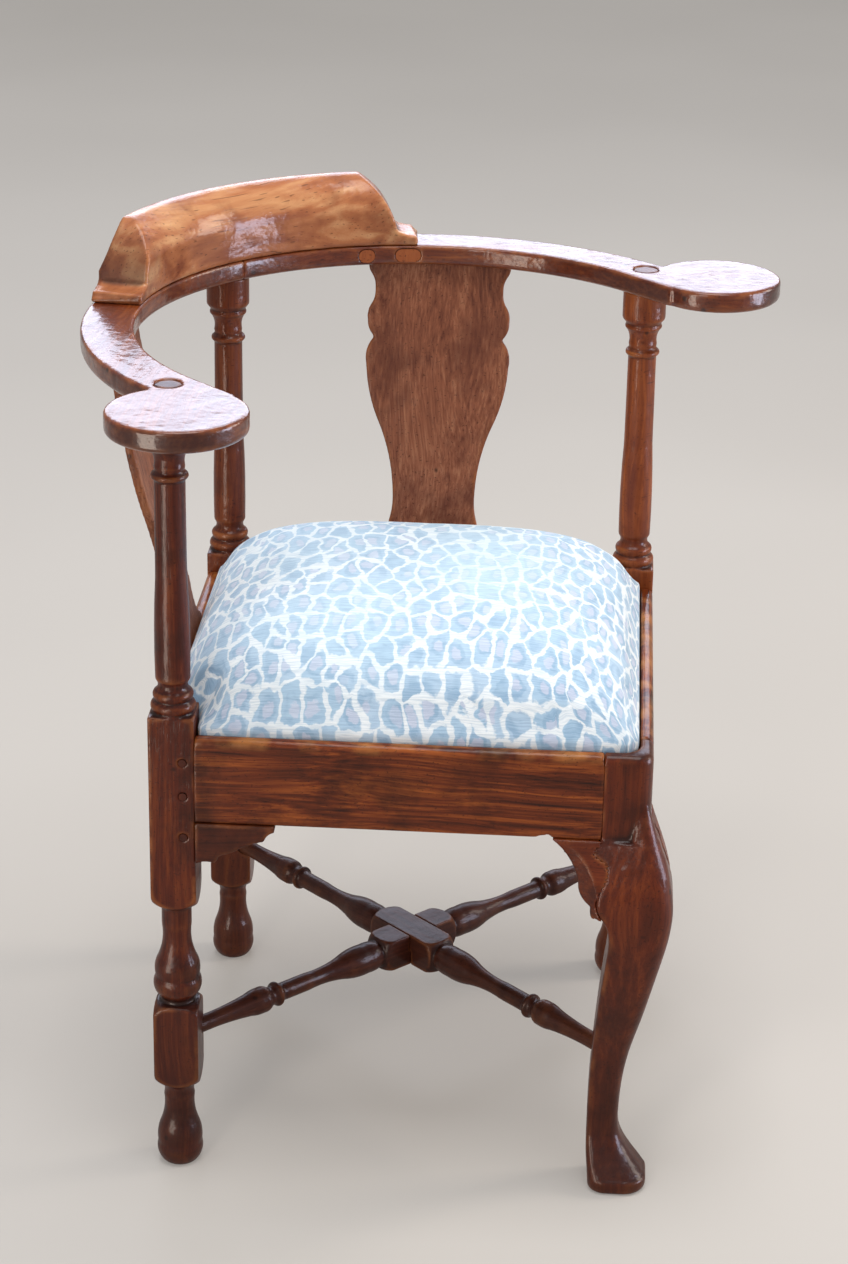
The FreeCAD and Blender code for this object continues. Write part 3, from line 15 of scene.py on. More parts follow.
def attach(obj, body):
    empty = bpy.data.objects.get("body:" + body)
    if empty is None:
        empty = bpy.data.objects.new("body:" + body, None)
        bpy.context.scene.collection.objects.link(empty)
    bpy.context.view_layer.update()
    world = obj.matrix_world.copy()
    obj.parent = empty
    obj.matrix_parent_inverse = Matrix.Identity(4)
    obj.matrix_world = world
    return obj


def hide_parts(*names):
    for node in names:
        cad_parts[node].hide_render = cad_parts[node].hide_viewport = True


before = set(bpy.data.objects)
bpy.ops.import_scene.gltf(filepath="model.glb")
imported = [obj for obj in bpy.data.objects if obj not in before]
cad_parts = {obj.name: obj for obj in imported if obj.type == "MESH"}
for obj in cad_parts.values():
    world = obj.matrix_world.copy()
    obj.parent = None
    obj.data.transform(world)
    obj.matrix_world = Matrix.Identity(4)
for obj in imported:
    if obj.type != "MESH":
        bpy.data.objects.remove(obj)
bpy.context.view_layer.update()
scene = bpy.context.scene
seat_middle = Vector((0.0, 0.017, 0.0))
square_turn = math.radians(45)

# %% [markdown]
# ## The camera
# A camera is placed before anything is dressed, because every later choice is judged through it.
# The view looks down at the chair from its left front corner with a long lens, which keeps the
# posts nearly parallel. The focal length is measured in the picture's own rows, so it is turned to
# millimetres for a sensor as high as the picture.

# %% Camera
picture_rows = 1264
focal_rows = 3062.67
sensor = 36.0
look_right = math.radians(41.6265)
look_down = math.radians(22.5518)
roll = math.radians(1.0165)
camera_place = Vector((-1.775, -1.9903, 1.5752))

forward = Vector((math.sin(look_right) * math.cos(look_down),
                  math.cos(look_right) * math.cos(look_down), -math.sin(look_down)))
level = Vector((math.cos(look_right), -math.sin(look_right), 0.0))
upright = level.cross(forward)
side = math.cos(roll) * level + math.sin(roll) * upright
top = -math.sin(roll) * level + math.cos(roll) * upright
camera_data = bpy.data.cameras.new("camera")
camera_data.sensor_fit = "VERTICAL"
camera_data.sensor_height = sensor
camera_data.lens = focal_rows * sensor / picture_rows
camera_data.clip_start = 0.05
camera = bpy.data.objects.new("camera", camera_data)
scene.collection.objects.link(camera)
camera.matrix_world = Matrix((
    (side.x, top.x, -forward.x, camera_place.x),
    (side.y, top.y, -forward.y, camera_place.y),
    (side.z, top.z, -forward.z, camera_place.z),
    (0.0, 0.0, 0.0, 1.0),
))
scene.camera = camera
print("lens", round(camera_data.lens, 2), "mm")

# %% [markdown]
# ## Small tools for materials
# Every finish below is a tree of nodes. One function turns a written colour into the linear values
# that Blender mixes with, and one adds a node, sets it up and links it, so that each material reads
# like a recipe.

# %% Colour and node helpers


def colour(written):
    """A hex colour as it is seen, turned to linear red, green, blue and alpha."""
    parts = [int(written[i:i + 2], 16) / 255 for i in (1, 3, 5)]
    return tuple(c / 12.92 if c <= 0.04045 else ((c + 0.055) / 1.055) ** 2.4 for c in parts) + (1.0,)


def add(tree, kind, inputs=None, stops=(), **settings):
    """Adds a node, sets it up and gives it back.

    An input is a plain value or the output of another node, which is then linked to it. Stops are
    the places and colours of a colour ramp.
    """
    node = tree.nodes.new(kind)
    for name, value in settings.items():
        setattr(node, name, value)
    for name, value in (inputs or {}).items():
        socket = node.inputs[name]
        if isinstance(value, bpy.types.NodeSocket):
            tree.links.new(value, socket)
        else:
            socket.default_value = value
    for number, (place, shade) in enumerate(stops):
        elements = node.color_ramp.elements
        element = elements[number] if number < 2 else elements.new(place)
        element.position = place
        element.color = shade
    return node


def blank_material(name):
    """A new material and its empty tree."""
    material = bpy.data.materials.new(name)
    material.use_nodes = True
    material.node_tree.nodes.clear()
    return material, material.node_tree


print("a seen mid grey is", round(colour("#808080")[0], 3), "of white in linear light")

# %% [markdown]
# ## Old polished wood
# The frame is a close, reddish fruitwood under two centuries of wax: brown to red-brown boards with
# dark grain lines along their length, a deep soft gloss, paler arrises where hands and cloths have
# rubbed, and dirt in the grooves of the turnings. The wood is solid, so its pattern is solid too:
# noise in the object's own coordinates, squeezed along the grain, runs through a board and shows
# end grain where the board ends. Scales are counts per metre along and across the fibres.
#
# Growth lines wander, so a slow noise first bends the coordinate that they are read from. Pores
# are much finer than a pixel of the picture, so they are drawn 0.9 mm across to show at all.

# %% Growth lines and pores
wanders_per_metre = (3.0, 12.0, 12.0)
wander_reach = (0.0, 0.05, 0.05)
pores_per_metre = (55.0, 1100.0, 1100.0)
lines_along_per_across = 0.01


def grain_lines(tree, along, line_width):
    """Growth lines, pores as dashes, and the bent coordinate that both are read from."""
    slow = add(tree, "ShaderNodeMapping", {"Vector": along, "Scale": wanders_per_metre}).outputs[0]
    drift = add(tree, "ShaderNodeTexNoise", {"Vector": slow, "Scale": 1.0, "Detail": 2.0}).outputs["Color"]
    bend = add(tree, "ShaderNodeVectorMath", {0: drift, 1: wander_reach}, operation="MULTIPLY").outputs[0]
    bent = add(tree, "ShaderNodeVectorMath", {0: along, 1: bend}, operation="ADD").outputs[0]
    across = 1 / line_width
    squeezed = add(tree, "ShaderNodeMapping", {
        "Vector": bent, "Scale": (lines_along_per_across * across, across, across)}).outputs[0]
    lines = add(tree, "ShaderNodeTexNoise", {
        "Vector": squeezed, "Scale": 1.0, "Detail": 4.0, "Roughness": 0.62}).outputs["Fac"]
    tiny = add(tree, "ShaderNodeMapping", {"Vector": bent, "Scale": pores_per_metre}).outputs[0]
    pores = add(tree, "ShaderNodeTexNoise", {"Vector": tiny, "Scale": 1.0, "Detail": 1.0}).outputs["Fac"]
    dashes = add(tree, "ShaderNodeMapRange", {0: pores, 1: 0.60, 2: 0.72}).outputs[0]
    return lines, dashes, bent


print("pores are drawn", round(1000 / pores_per_metre[1], 2), "mm across")

# %% [markdown]
# A sawn board also has broad bands of colour, about 25 mm across and 200 mm long. Lines and bands
# are mixed to one number, and a ramp of three shades turns that into the colour of the board. The
# narrower the ramp, the stronger the contrast.

# %% The colour of a board
bands_per_metre = (5.0, 40.0, 40.0)
ramp_reach = 0.19


def board_colour(tree, along, shades, lines, dashes, contrast, figure, pores_show):
    """A board's colour from a dark, a middle and a light shade. Figure is the share of the bands."""
    dark, middle, light = [colour(shade) for shade in shades]
    stretched = add(tree, "ShaderNodeMapping", {"Vector": along, "Scale": bands_per_metre}).outputs[0]
    bands = add(tree, "ShaderNodeTexNoise", {"Vector": stretched, "Scale": 1.0, "Detail": 3.0,
                                             "Roughness": 0.5, "Distortion": 0.8}).outputs["Fac"]
    mixed = add(tree, "ShaderNodeMix", {0: figure, 2: lines, 3: bands}).outputs[0]
    reach = ramp_reach / contrast
    stops = [(max(0.0, 0.5 - reach), dark), (0.5, middle), (min(1.0, 0.5 + reach), light)]
    shade = add(tree, "ShaderNodeValToRGB", {0: mixed}, stops=stops).outputs[0]
    pore_share = add(tree, "ShaderNodeMapRange", {0: dashes, 4: pores_show}).outputs[0]
    return add(tree, "ShaderNodeMix", {0: pore_share, 6: shade, 7: dark}, data_type="RGBA").outputs[2]


print("bands are", round(1000 / bands_per_metre[1]), "mm across")

# %% [markdown]
# ## Handling
# Where fibres end at the surface they drink more stain, so end grain is dark. Arrises are rubbed
# paler in places, and hollows keep dirt and old wax. Both are read from an attribute that a later
# cell stores: how far a point stands out of its surroundings, in millimetres. Above a given height
# the wood is golden in spots: partly polish worn thin by clothes, partly a painted highlight along
# the top arris.

# %% Rubbed arrises and dirty hollows
end_grain = "#2a1210"
rubbed_wood = "#9c5a2c"
dirt = "#1d0f0a"
thin_polish_and_highlight = "#b87a3e"
rubs_per_metre = 38.0
golden_edge = 0.009


def handled(tree, place, board, fibres, pale_above):
    """A board's colour after long use. Above pale_above it is golden: worn polish, painted highlight."""
    facing = add(tree, "ShaderNodeNewGeometry").outputs["Normal"]
    end_on = add(tree, "ShaderNodeVectorMath", {0: facing, 1: fibres}, operation="DOT_PRODUCT")
    end_size = add(tree, "ShaderNodeMath", {0: end_on.outputs["Value"]}, operation="ABSOLUTE").outputs[0]
    end_share = add(tree, "ShaderNodeMapRange", {0: end_size, 1: 0.45, 2: 0.85, 4: 0.7}).outputs[0]
    stained = add(tree, "ShaderNodeMix", {0: end_share, 6: board, 7: colour(end_grain)},
                  data_type="RGBA").outputs[2]

    bulge = add(tree, "ShaderNodeAttribute", attribute_name="bulge").outputs["Fac"]
    rubs = add(tree, "ShaderNodeTexNoise", {"Vector": place, "Scale": rubs_per_metre, "Detail": 3.0})
    proud = add(tree, "ShaderNodeMapRange", {0: bulge, 1: 0.25, 2: 0.8}).outputs[0]
    touched = add(tree, "ShaderNodeMapRange", {
        0: rubs.outputs["Fac"], 1: 0.42, 2: 0.66, 4: 0.6}).outputs[0]
    arris = add(tree, "ShaderNodeMath", {0: proud, 1: touched}, operation="MULTIPLY").outputs[0]
    rubbed = add(tree, "ShaderNodeMix", {0: arris, 6: stained, 7: colour(rubbed_wood)},
                 data_type="RGBA").outputs[2]
    hollow = add(tree, "ShaderNodeMapRange", {0: bulge, 1: -0.12, 2: -0.6, 4: 0.8}).outputs[0]
    dirty = add(tree, "ShaderNodeMix", {0: hollow, 6: rubbed, 7: colour(dirt)},
                data_type="RGBA").outputs[2]

    # Golden spots above pale_above: polish worn thin there, and a painted highlight on the top arris.
    height = add(tree, "ShaderNodeSeparateXYZ", {0: place}).outputs["Z"]
    worn_and_lit = add(tree, "ShaderNodeMapRange", {
        0: height, 1: pale_above - golden_edge, 2: pale_above}).outputs[0]
    thin = add(tree, "ShaderNodeMath", {0: worn_and_lit, 1: touched}, operation="MULTIPLY").outputs[0]
    return add(tree, "ShaderNodeMix", {0: thin, 6: dirty, 7: colour(thin_polish_and_highlight)},
               data_type="RGBA").outputs[2]


print("rubbed spots are about", round(1000 / rubs_per_metre), "mm wide")

# %% [markdown]
# ## Knocks
# Two centuries also leave dark dents about 5 mm across and hair scratches that run askew. The legs
# get a painted shade from 300 mm above the floor downwards, which also stands for the grime of shoes
# and mops, and the polish is dull in patches of about 60 mm. Dents are the hearts of Voronoi cells,
# and scratches are noise drawn out very thin.

# %% Dents, scratches and painted shade near the floor
dents_per_metre = 24.0
hairs_per_metre = (14.0, 620.0, 620.0)
hair_turn = (0.5, 0.4, 0.7)
damaged_wood = "#1a0b07"
low_shade_and_grime = "#2a120c"
low_shade_top, low_shade_bottom = 0.3, 0.04


def knocked(tree, place, bent, patch, wood, dark):
    """The colour of wood with dents, hair scratches, painted shade and grime low down, and dull patches."""
    dents = add(tree, "ShaderNodeTexVoronoi", {"Vector": bent, "Scale": dents_per_metre}, feature="F1")
    dent_share = add(tree, "ShaderNodeMapRange", {
        0: dents.outputs["Distance"], 1: 0.08, 2: 0.04, 4: 0.75}).outputs[0]
    skewed = add(tree, "ShaderNodeMapping", {
        "Vector": place, "Rotation": hair_turn, "Scale": hairs_per_metre}).outputs[0]
    hairs = add(tree, "ShaderNodeTexNoise", {"Vector": skewed, "Scale": 1.0, "Detail": 0.0}).outputs["Fac"]
    hair_share = add(tree, "ShaderNodeMapRange", {0: hairs, 1: 0.72, 2: 0.78, 4: 0.5}).outputs[0]
    damage = add(tree, "ShaderNodeMath", {0: dent_share, 1: hair_share}, operation="MAXIMUM").outputs[0]
    hurt = add(tree, "ShaderNodeMix", {0: damage, 6: wood, 7: colour(damaged_wood)},
               data_type="RGBA").outputs[2]

    # Painted shade near the floor, darkest at the bottom; it also stands for shoe and mop grime.
    height = add(tree, "ShaderNodeSeparateXYZ", {0: place}).outputs["Z"]
    low = add(tree, "ShaderNodeMapRange", {0: height, 1: low_shade_top, 2: low_shade_bottom, 4: 0.55}).outputs[0]
    low_shaded_and_grimy = add(tree, "ShaderNodeMix", {0: low, 6: hurt, 7: colour(low_shade_and_grime)}, data_type="RGBA").outputs[2]
    dull = add(tree, "ShaderNodeMapRange", {0: patch, 1: 0.48, 2: 0.32, 4: 0.6}).outputs[0]
    return add(tree, "ShaderNodeMix", {0: dull, 6: low_shaded_and_grimy, 7: dark}, data_type="RGBA").outputs[2]


print("one dent at most in each", round(1000 / dents_per_metre), "mm")

# %% [markdown]
# ## Wax over wood
# The pieces are now put together. Each board is another piece of the tree, so each gets its own
# tone, grain direction and start point. The clear coat is the wax: IOR 1.45 and fairly smooth. The
# wood under it has little mirror of its own, because wax fills it. Two bumps give a slight relief:
# sunk pores with standing lines, and the unevenness of a hand plane.

# %% Waxed wood
patches_per_metre = 16.0
wax_ior = 1.45
out_of_reach = 9.0


def polished_wood(name, shades, grain, start, line_width=0.0045, contrast=0.7, figure=0.35,
                  gloss=0.4, wax=0.35, pale_above=out_of_reach, pores_show=0.5):
    """Waxed old hardwood in a dark, a middle and a light shade.

    Grain is the direction of its fibres: "Z", or an angle in plan in degrees. Start is where the
    board lies in the tree, and line width that of a growth line, both in metres.
    """
    material, tree = blank_material(name)
    place = add(tree, "ShaderNodeTexCoord").outputs["Object"]
    if grain == "Z":
        turn = (0.0, math.radians(90), 0.0)
        fibres = (0.0, 0.0, 1.0)
    else:
        turn = (0.0, 0.0, -math.radians(grain))
        fibres = (math.cos(math.radians(grain)), math.sin(math.radians(grain)), 0.0)
    along = add(tree, "ShaderNodeMapping", {
        "Vector": place, "Rotation": turn, "Location": (start, start * 1.7, start * 0.6)}).outputs[0]
    lines, dashes, bent = grain_lines(tree, along, line_width)
    board = board_colour(tree, along, shades, lines, dashes, contrast, figure, pores_show)
    used = handled(tree, place, board, fibres, pale_above)
    patch = add(tree, "ShaderNodeTexNoise", {
        "Vector": place, "Scale": patches_per_metre, "Detail": 4.0, "Roughness": 0.6}).outputs["Fac"]
    toned = knocked(tree, place, bent, patch, used, colour(shades[0]))
    roughness = add(tree, "ShaderNodeMapRange", {
        0: patch, 1: 0.3, 2: 0.7, 3: gloss, 4: gloss + 0.2}).outputs[0]

    fine = add(tree, "ShaderNodeMix", {0: 0.5, 2: dashes, 3: lines}).outputs[0]
    grain_bump = add(tree, "ShaderNodeBump", {"Height": fine, "Strength": 0.3, "Distance": 0.0004},
                     invert=True).outputs[0]
    bump = add(tree, "ShaderNodeBump", {"Height": patch, "Strength": 0.6, "Distance": 0.004,
                                        "Normal": grain_bump}).outputs[0]
    shader = add(tree, "ShaderNodeBsdfPrincipled", {
        "Base Color": toned, "Roughness": roughness, "IOR": wax_ior, "Specular IOR Level": 0.1,
        "Normal": bump, "Coat Weight": wax, "Coat Roughness": 0.14, "Coat IOR": wax_ior,
        "Coat Normal": bump})
    add(tree, "ShaderNodeOutputMaterial", {"Surface": shader.outputs[0]})
    return material


print("dull patches are about", round(1000 / patches_per_metre), "mm wide")

# %% [markdown]
# ## Worn arrises
# The CAD solids are exact, and their edges are as sharp as on the day they were planed. On the real
# chair no edge is sharp. Beveling thousands of CAD triangles is fragile, so a copy of each part is
# merged and rebuilt as an even skin by the Remesh modifier, and then relaxed a little: the relaxing
# rounds only what is sharper than a few millimetres. Straight parts are turned square to the axes
# first, because the remesher follows its grid, and are turned back afterwards. The copy then
# stands for the CAD node, and gets the wood.

# %% Meshes and pieces
coarse = 1.0
same_place = 1e-5


def as_mesh(shape, name, smooth=True):
    """Turns a shape into a mesh, shaded smooth or flat, and lets the shape go."""
    for face in shape.faces:
        face.smooth = smooth
    mesh = bpy.data.meshes.new(name)
    shape.to_mesh(mesh)
    shape.free()
    return mesh


def as_shape(mesh):
    """A shape that can be worked on, from a mesh."""
    shape = bmesh.new()
    shape.from_mesh(mesh)
    return shape


def link_object(name, mesh):
    """Puts a mesh into the scene as an object."""
    thing = bpy.data.objects.new(name, mesh)
    scene.collection.objects.link(thing)
    return thing


def baked(piece):
    """The mesh of a piece with its modifiers done."""
    return bpy.data.meshes.new_from_object(piece.evaluated_get(bpy.context.evaluated_depsgraph_get()))


def even_skin(mesh, voxel):
    """The same form with an even skin of small squares, in place of the mesh, which goes."""
    carrier = link_object(mesh.name, mesh)
    remesh = carrier.modifiers.new("even skin", "REMESH")
    remesh.mode = "VOXEL"
    remesh.voxel_size = voxel
    skin = baked(carrier)
    bpy.data.objects.remove(carrier)
    bpy.data.meshes.remove(mesh)
    return skin


print("skins are", round(coarse), "times as coarse as in the final picture")

# %% [markdown]
# Dirt and rubbing follow the form, so each point stores how far it stands out. A shape is smoothed
# away over a few millimetres, and what a point loses inwards is what it stood out by. Finer skins
# need more rounds of smoothing to reach as far.

# %% How far each point stands out
bulge_reach = 0.0022
rounds_per_reach = 8
fewest_rounds = 3


def relax(shape, rounds):
    """Draws every point towards its neighbours, so many times."""
    for _ in range(rounds):
        bmesh.ops.smooth_vert(shape, verts=shape.verts, factor=0.5, use_axis_x=True, use_axis_y=True,
                              use_axis_z=True)


def measure_bulge(mesh, shape):
    """Stores how far each point stands out, in millimetres. Hollows are below 0."""
    normals = [vert.normal.copy() for vert in shape.verts]
    square = math.sqrt(sum(face.calc_area() for face in shape.faces) / len(shape.faces))
    relax(shape, max(fewest_rounds, int((bulge_reach / square) ** 2 * rounds_per_reach)))
    stands_out = [(before.co - after.co).dot(normal) * 1000
                  for before, after, normal in zip(mesh.vertices, shape.verts, normals)]
    shape.free()
    mesh.attributes.new("bulge", "FLOAT", "POINT").data.foreach_set("value", stands_out)
    stands_out.sort()
    shares = (0.01, 0.1, 0.5, 0.9, 0.99)
    print("  bulge", [round(stands_out[int(len(stands_out) * share)], 3) for share in shares])


print("a bulge is measured over about", round(bulge_reach * 2000, 1), "mm")

# %% A worn copy of a part


def turn_about_middle(shape, turn):
    """Turns a shape about the upright through the middle of the seat."""
    bmesh.ops.rotate(shape, verts=shape.verts, cent=seat_middle, matrix=Matrix.Rotation(turn, 3, "Z"))


def worn_copy(node, voxel, rounds, turn):
    """A copy of a CAD node as an even skin, its arrises relaxed by so many rounds of smoothing."""
    name = node + "_worn"
    shape = as_shape(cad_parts[node].data)
    bmesh.ops.remove_doubles(shape, verts=shape.verts, dist=same_place)
    turn_about_middle(shape, -turn)
    skin = even_skin(as_mesh(shape, name), voxel * coarse)
    shape = as_shape(skin)
    relax(shape, rounds)
    turn_about_middle(shape, turn)
    for face in shape.faces:
        face.smooth = True
    shape.to_mesh(skin)
    skin.name = name
    measure_bulge(skin, shape)
    piece = link_object(name, skin)
    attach(piece, "frame")
    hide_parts(node)
    print(name, len(skin.polygons), "faces")
    return piece


def dress(piece, material):
    """Gives a piece one material."""
    piece.data.materials.clear()
    piece.data.materials.append(material)


def make_wooden(node, voxel, shades, grain, start, rounds=2, turn=square_turn, **finish):
    """A worn copy of a node in a board of its own."""
    wood = polished_wood("waxed fruitwood, " + node.replace("_", " "), shades, grain, start, **finish)
    dress(worn_copy(node, voxel, rounds, turn), wood)


# %% [markdown]
# ## Posts and leg
# Turned wood stands with its grain upright. Small voxels keep the thin fillets of the turnings
# crisp, and the carved leg, which has none, can do with larger ones. The right post is much paler
# than the others, as if it had stood by a window.

# %% Posts and front leg
turned_voxel = 0.0012
make_wooden("left_post", turned_voxel, ("#240903", "#531c09", "#873f16"), "Z", 0.3)
make_wooden("right_post", turned_voxel, ("#5a1f0c", "#8c451f", "#b56331"), "Z", 1.4)
make_wooden("back_post", turned_voxel, ("#3a1206", "#6b2d11", "#8f4a1f"), "Z", 2.2)
make_wooden("front_leg", 0.0016, ("#2c0d05", "#5c230d", "#8a4018"), "Z", 3.1, rounds=3,
            line_width=0.006)

# %% [markdown]
# ## Rails, brackets and stretchers
# The rails are straight boards with bold dark grain along them. Their top outer arris is well
# rounded by knees and hands, which the CAD already has, and its last 9 mm are golden in spots:
# worn thin polish and a painted highlight.

# %% Rails
rail_voxel = 0.0019
rail_top = 0.443
rail_grain = {"front_left_rail": -45, "back_right_rail": -45, "front_right_rail": 45, "back_left_rail": 45}
for number, (node, angle) in enumerate(rail_grain.items()):
    make_wooden(node, rail_voxel, ("#1e0903", "#682b0f", "#a1531f"), angle, 5.0 + number,
                line_width=0.0038, contrast=1.15, pale_above=rail_top)

# %% Brackets
for node, angle in (("left_knee_bracket", -45), ("right_knee_bracket", 45)):
    make_wooden(node, turned_voxel, ("#331006", "#65280f", "#8a421a"), angle, 9.3)
for node, angle in (("left_post_bracket", -45), ("right_post_bracket", 45)):
    make_wooden(node, turned_voxel, ("#260c05", "#4c1c0b", "#6c3013"), angle, 10.1)

# %% Stretchers
make_wooden("side_stretcher", 0.0013, ("#260e08", "#482015", "#6a3826"), 0, 11.2, turn=0.0,
            gloss=0.45, wax=0.2)
make_wooden("front_back_stretcher", 0.0013, ("#26100a", "#4a2317", "#6a3a28"), 90, 12.6, turn=0.0,
            gloss=0.45, wax=0.2)

# %% [markdown]
# ## Splats, arms and crest
# The splats are thin sawn boards, dull and scratched. The arms are flat and carry the most polish.
# The crest is a thick block with a swirling golden figure that the others don't have.

# %% Splats
for node, angle in (("right_splat", 45), ("left_splat", -45)):
    make_wooden(node, 0.0016, ("#562c1f", "#854e36", "#a56e50"), "Z", 13.0 + angle / 45,
                line_width=0.0026, contrast=1.0, gloss=0.45, wax=0.2)

# %% Arms
for node, angle in (("right_arm", -42), ("left_arm", 42)):
    make_wooden(node, 0.0014, ("#3c1408", "#682c13", "#935024"), angle, 16.4, rounds=3, turn=0.0,
                gloss=0.3, wax=0.8)

# %% Crest
make_wooden("crest", 0.0018, ("#6e3019", "#ac6a42", "#d7a473"), 0, 20.3, rounds=3, turn=0.0,
            line_width=0.009, figure=0.75, contrast=0.9, gloss=0.34, wax=0.6, pores_show=0.15)

# %% [markdown]
# ## Pegs and plugs
# Each rail joint is pinned by two round pegs, and two plugs fill holes in one arm. They are small
# and round already, so the CAD solids stay, and only get wood with the grain end on.

# %% Pegs, plugs and dowel
end_wood = polished_wood("waxed fruitwood, end grain", ("#280c05", "#4e1d0c", "#6a2e14"), "Z", 21.7)
plug_wood = polished_wood("waxed fruitwood, plugs", ("#6e2f17", "#99522c", "#b06a3b"), "Z", 22.9,
                          contrast=0.4)
dress(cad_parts["joint_pegs"], end_wood)
dress(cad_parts["arm_dowel"], end_wood)
dress(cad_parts["arm_plugs"], plug_wood)
print("pegs:", end_wood.name, "| plugs:", plug_wood.name)

# %% [markdown]
# ## Iron
# The bracket nails, the crest's screws and the seat's tacks are plain iron, browned by age. Most of
# a metal's colour is its reflection, so metallic is high, and a thin brown rust makes it rough.

# %% Iron material


def old_iron():
    """Forged iron with a thin brown oxide: a dark metal, rough, with paler rubbed spots."""
    material, tree = blank_material("oxidised forged iron")
    place = add(tree, "ShaderNodeTexCoord").outputs["Object"]
    blotch = add(tree, "ShaderNodeTexNoise", {"Vector": place, "Scale": 300.0, "Detail": 3.0}).outputs["Fac"]
    stops = [(0.35, colour("#2a211d")), (0.55, colour("#4a3c34")), (0.7, colour("#6b4a35"))]
    shade = add(tree, "ShaderNodeValToRGB", {0: blotch}, stops=stops).outputs[0]
    roughness = add(tree, "ShaderNodeMapRange", {0: blotch, 1: 0.3, 2: 0.7, 3: 0.45, 4: 0.7}).outputs[0]
    shader = add(tree, "ShaderNodeBsdfPrincipled", {
        "Base Color": shade, "Metallic": 0.85, "Roughness": roughness})
    add(tree, "ShaderNodeOutputMaterial", {"Surface": shader.outputs[0]})
    return material


iron = old_iron()
for node in ("bracket_nails", "crest_screws", "seat_tacks"):
    dress(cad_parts[node], iron)
print("nails, screws and tacks:", iron.name)

# %% [markdown]
# ## Inside the seat
# Turn the seat over and you see a plain pine frame, strips of jute webbing and a coarse hessian.
# None of it is polished. The CAD solids have the right shape, so only their finish changes.

# %% Plain wood


def bare_wood():
    """Unfinished pine, sawn: pale, dry and rough, with lines of darker late wood 4 mm apart."""
    material, tree = blank_material("bare sawn pine")
    place = add(tree, "ShaderNodeTexCoord").outputs["Object"]
    along = add(tree, "ShaderNodeMapping", {"Vector": place, "Rotation": (0, 0, -square_turn)}).outputs[0]
    stretched = add(tree, "ShaderNodeMapping", {"Vector": along, "Scale": (8.0, 120.0, 250.0)}).outputs[0]
    lines = add(tree, "ShaderNodeTexNoise", {"Vector": stretched, "Scale": 1.0, "Detail": 4.0,
                                             "Distortion": 0.6}).outputs["Fac"]
    stops = [(0.35, colour("#8a653d")), (0.5, colour("#b08b5c")), (0.68, colour("#c9a878"))]
    shade = add(tree, "ShaderNodeValToRGB", {0: lines}, stops=stops).outputs[0]
    bump = add(tree, "ShaderNodeBump", {"Height": lines, "Strength": 0.4, "Distance": 0.0005})
    shader = add(tree, "ShaderNodeBsdfPrincipled", {
        "Base Color": shade, "Roughness": 0.75, "Normal": bump.outputs[0]})
    add(tree, "ShaderNodeOutputMaterial", {"Surface": shader.outputs[0]})
    return material


pine = bare_wood()
for node in ("seat_slip_back_right", "seat_slip_back_left", "seat_slip_front_left", "seat_slip_front_right",
             "seat_slip_dowels"):
    dress(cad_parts[node], pine)
print("slip frame:", pine.name)

# %% [markdown]
# Webbing and hessian are plain weaves of coarse yarn: two sets of rounded threads that cross. A
# wave texture draws one set, and two waves multiplied show the holes between them. A wave repeats
# every pi / 10 of its coordinate, so the scale follows from the width of a thread.

# %% Webbing and hessian


def crossed_threads(tree, place, thread, distortion, detail_scale):
    """Two sets of threads that cross, each thread so many metres wide."""
    sets = [add(tree, "ShaderNodeTexWave", {
        "Vector": place, "Scale": math.pi / 10 / thread, "Distortion": distortion, "Detail": 1.0,
        "Detail Scale": detail_scale}, bands_direction=direction).outputs["Fac"] for direction in "XY"]
    return add(tree, "ShaderNodeMath", {0: sets[0], 1: sets[1]}, operation="MULTIPLY").outputs[0]


def woven(name, dark, light, thread):
    """A plain weave of coarse matt yarn, laid square to the seat."""
    material, tree = blank_material(name)
    place = add(tree, "ShaderNodeTexCoord").outputs["Object"]
    turned = add(tree, "ShaderNodeMapping", {"Vector": place, "Rotation": (0, 0, square_turn)}).outputs[0]
    cloth = crossed_threads(tree, turned, thread, 0.6, 2.0)
    stops = [(0.0, colour(dark)), (0.6, colour(light))]
    shade = add(tree, "ShaderNodeValToRGB", {0: cloth}, stops=stops).outputs[0]
    bump = add(tree, "ShaderNodeBump", {"Height": cloth, "Strength": 0.6, "Distance": 0.0006})
    shader = add(tree, "ShaderNodeBsdfPrincipled", {
        "Base Color": shade, "Roughness": 0.9, "Normal": bump.outputs[0]})
    add(tree, "ShaderNodeOutputMaterial", {"Surface": shader.outputs[0]})
    return material


webbing = woven("jute webbing", "#6d5432", "#a98c5f", 0.0022)
hessian = woven("hessian", "#6a4f2c", "#a8834f", 0.0018)
dress(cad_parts["seat_straps_lower"], webbing)
dress(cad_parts["seat_straps_upper"], webbing)
dress(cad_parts["seat_base_cloth"], hessian)
print("straps:", webbing.name, "| base cloth:", hessian.name)

# %% [markdown]
# ## The seat cushion
# The stuffing is horsehair on a flat frame, so the seat is a low square dome: nearly level across
# the middle and falling steeply to the rails, notched where the posts stand. A flat grid is raised
# by a smooth function, closed, rebuilt with an even skin, and then swelled by the cloth solver
# with the pressure of the filling. The solver bellies the sides out between the corners, as real
# stuffing does. All of it is made square to the axes and turned into place at the end.

# %% The seat's outline
seat_half = 0.2113
notch = 0.1818
corner_round = 0.018
on_plane = 1e-6


def everything(shape):
    """All the points, edges and faces of a shape."""
    return shape.verts[:] + shape.edges[:] + shape.faces[:]


def only(kind, parts):
    """Those parts of a shape that are of one kind."""
    return [part for part in parts if isinstance(part, kind)]


def in_notch(face, edge):
    """Whether a face lies in one of the three corners that make room for the posts."""
    place = face.calc_center_median()
    return min(abs(place.x), abs(place.y)) > edge and not (place.x < 0 and place.y < 0)


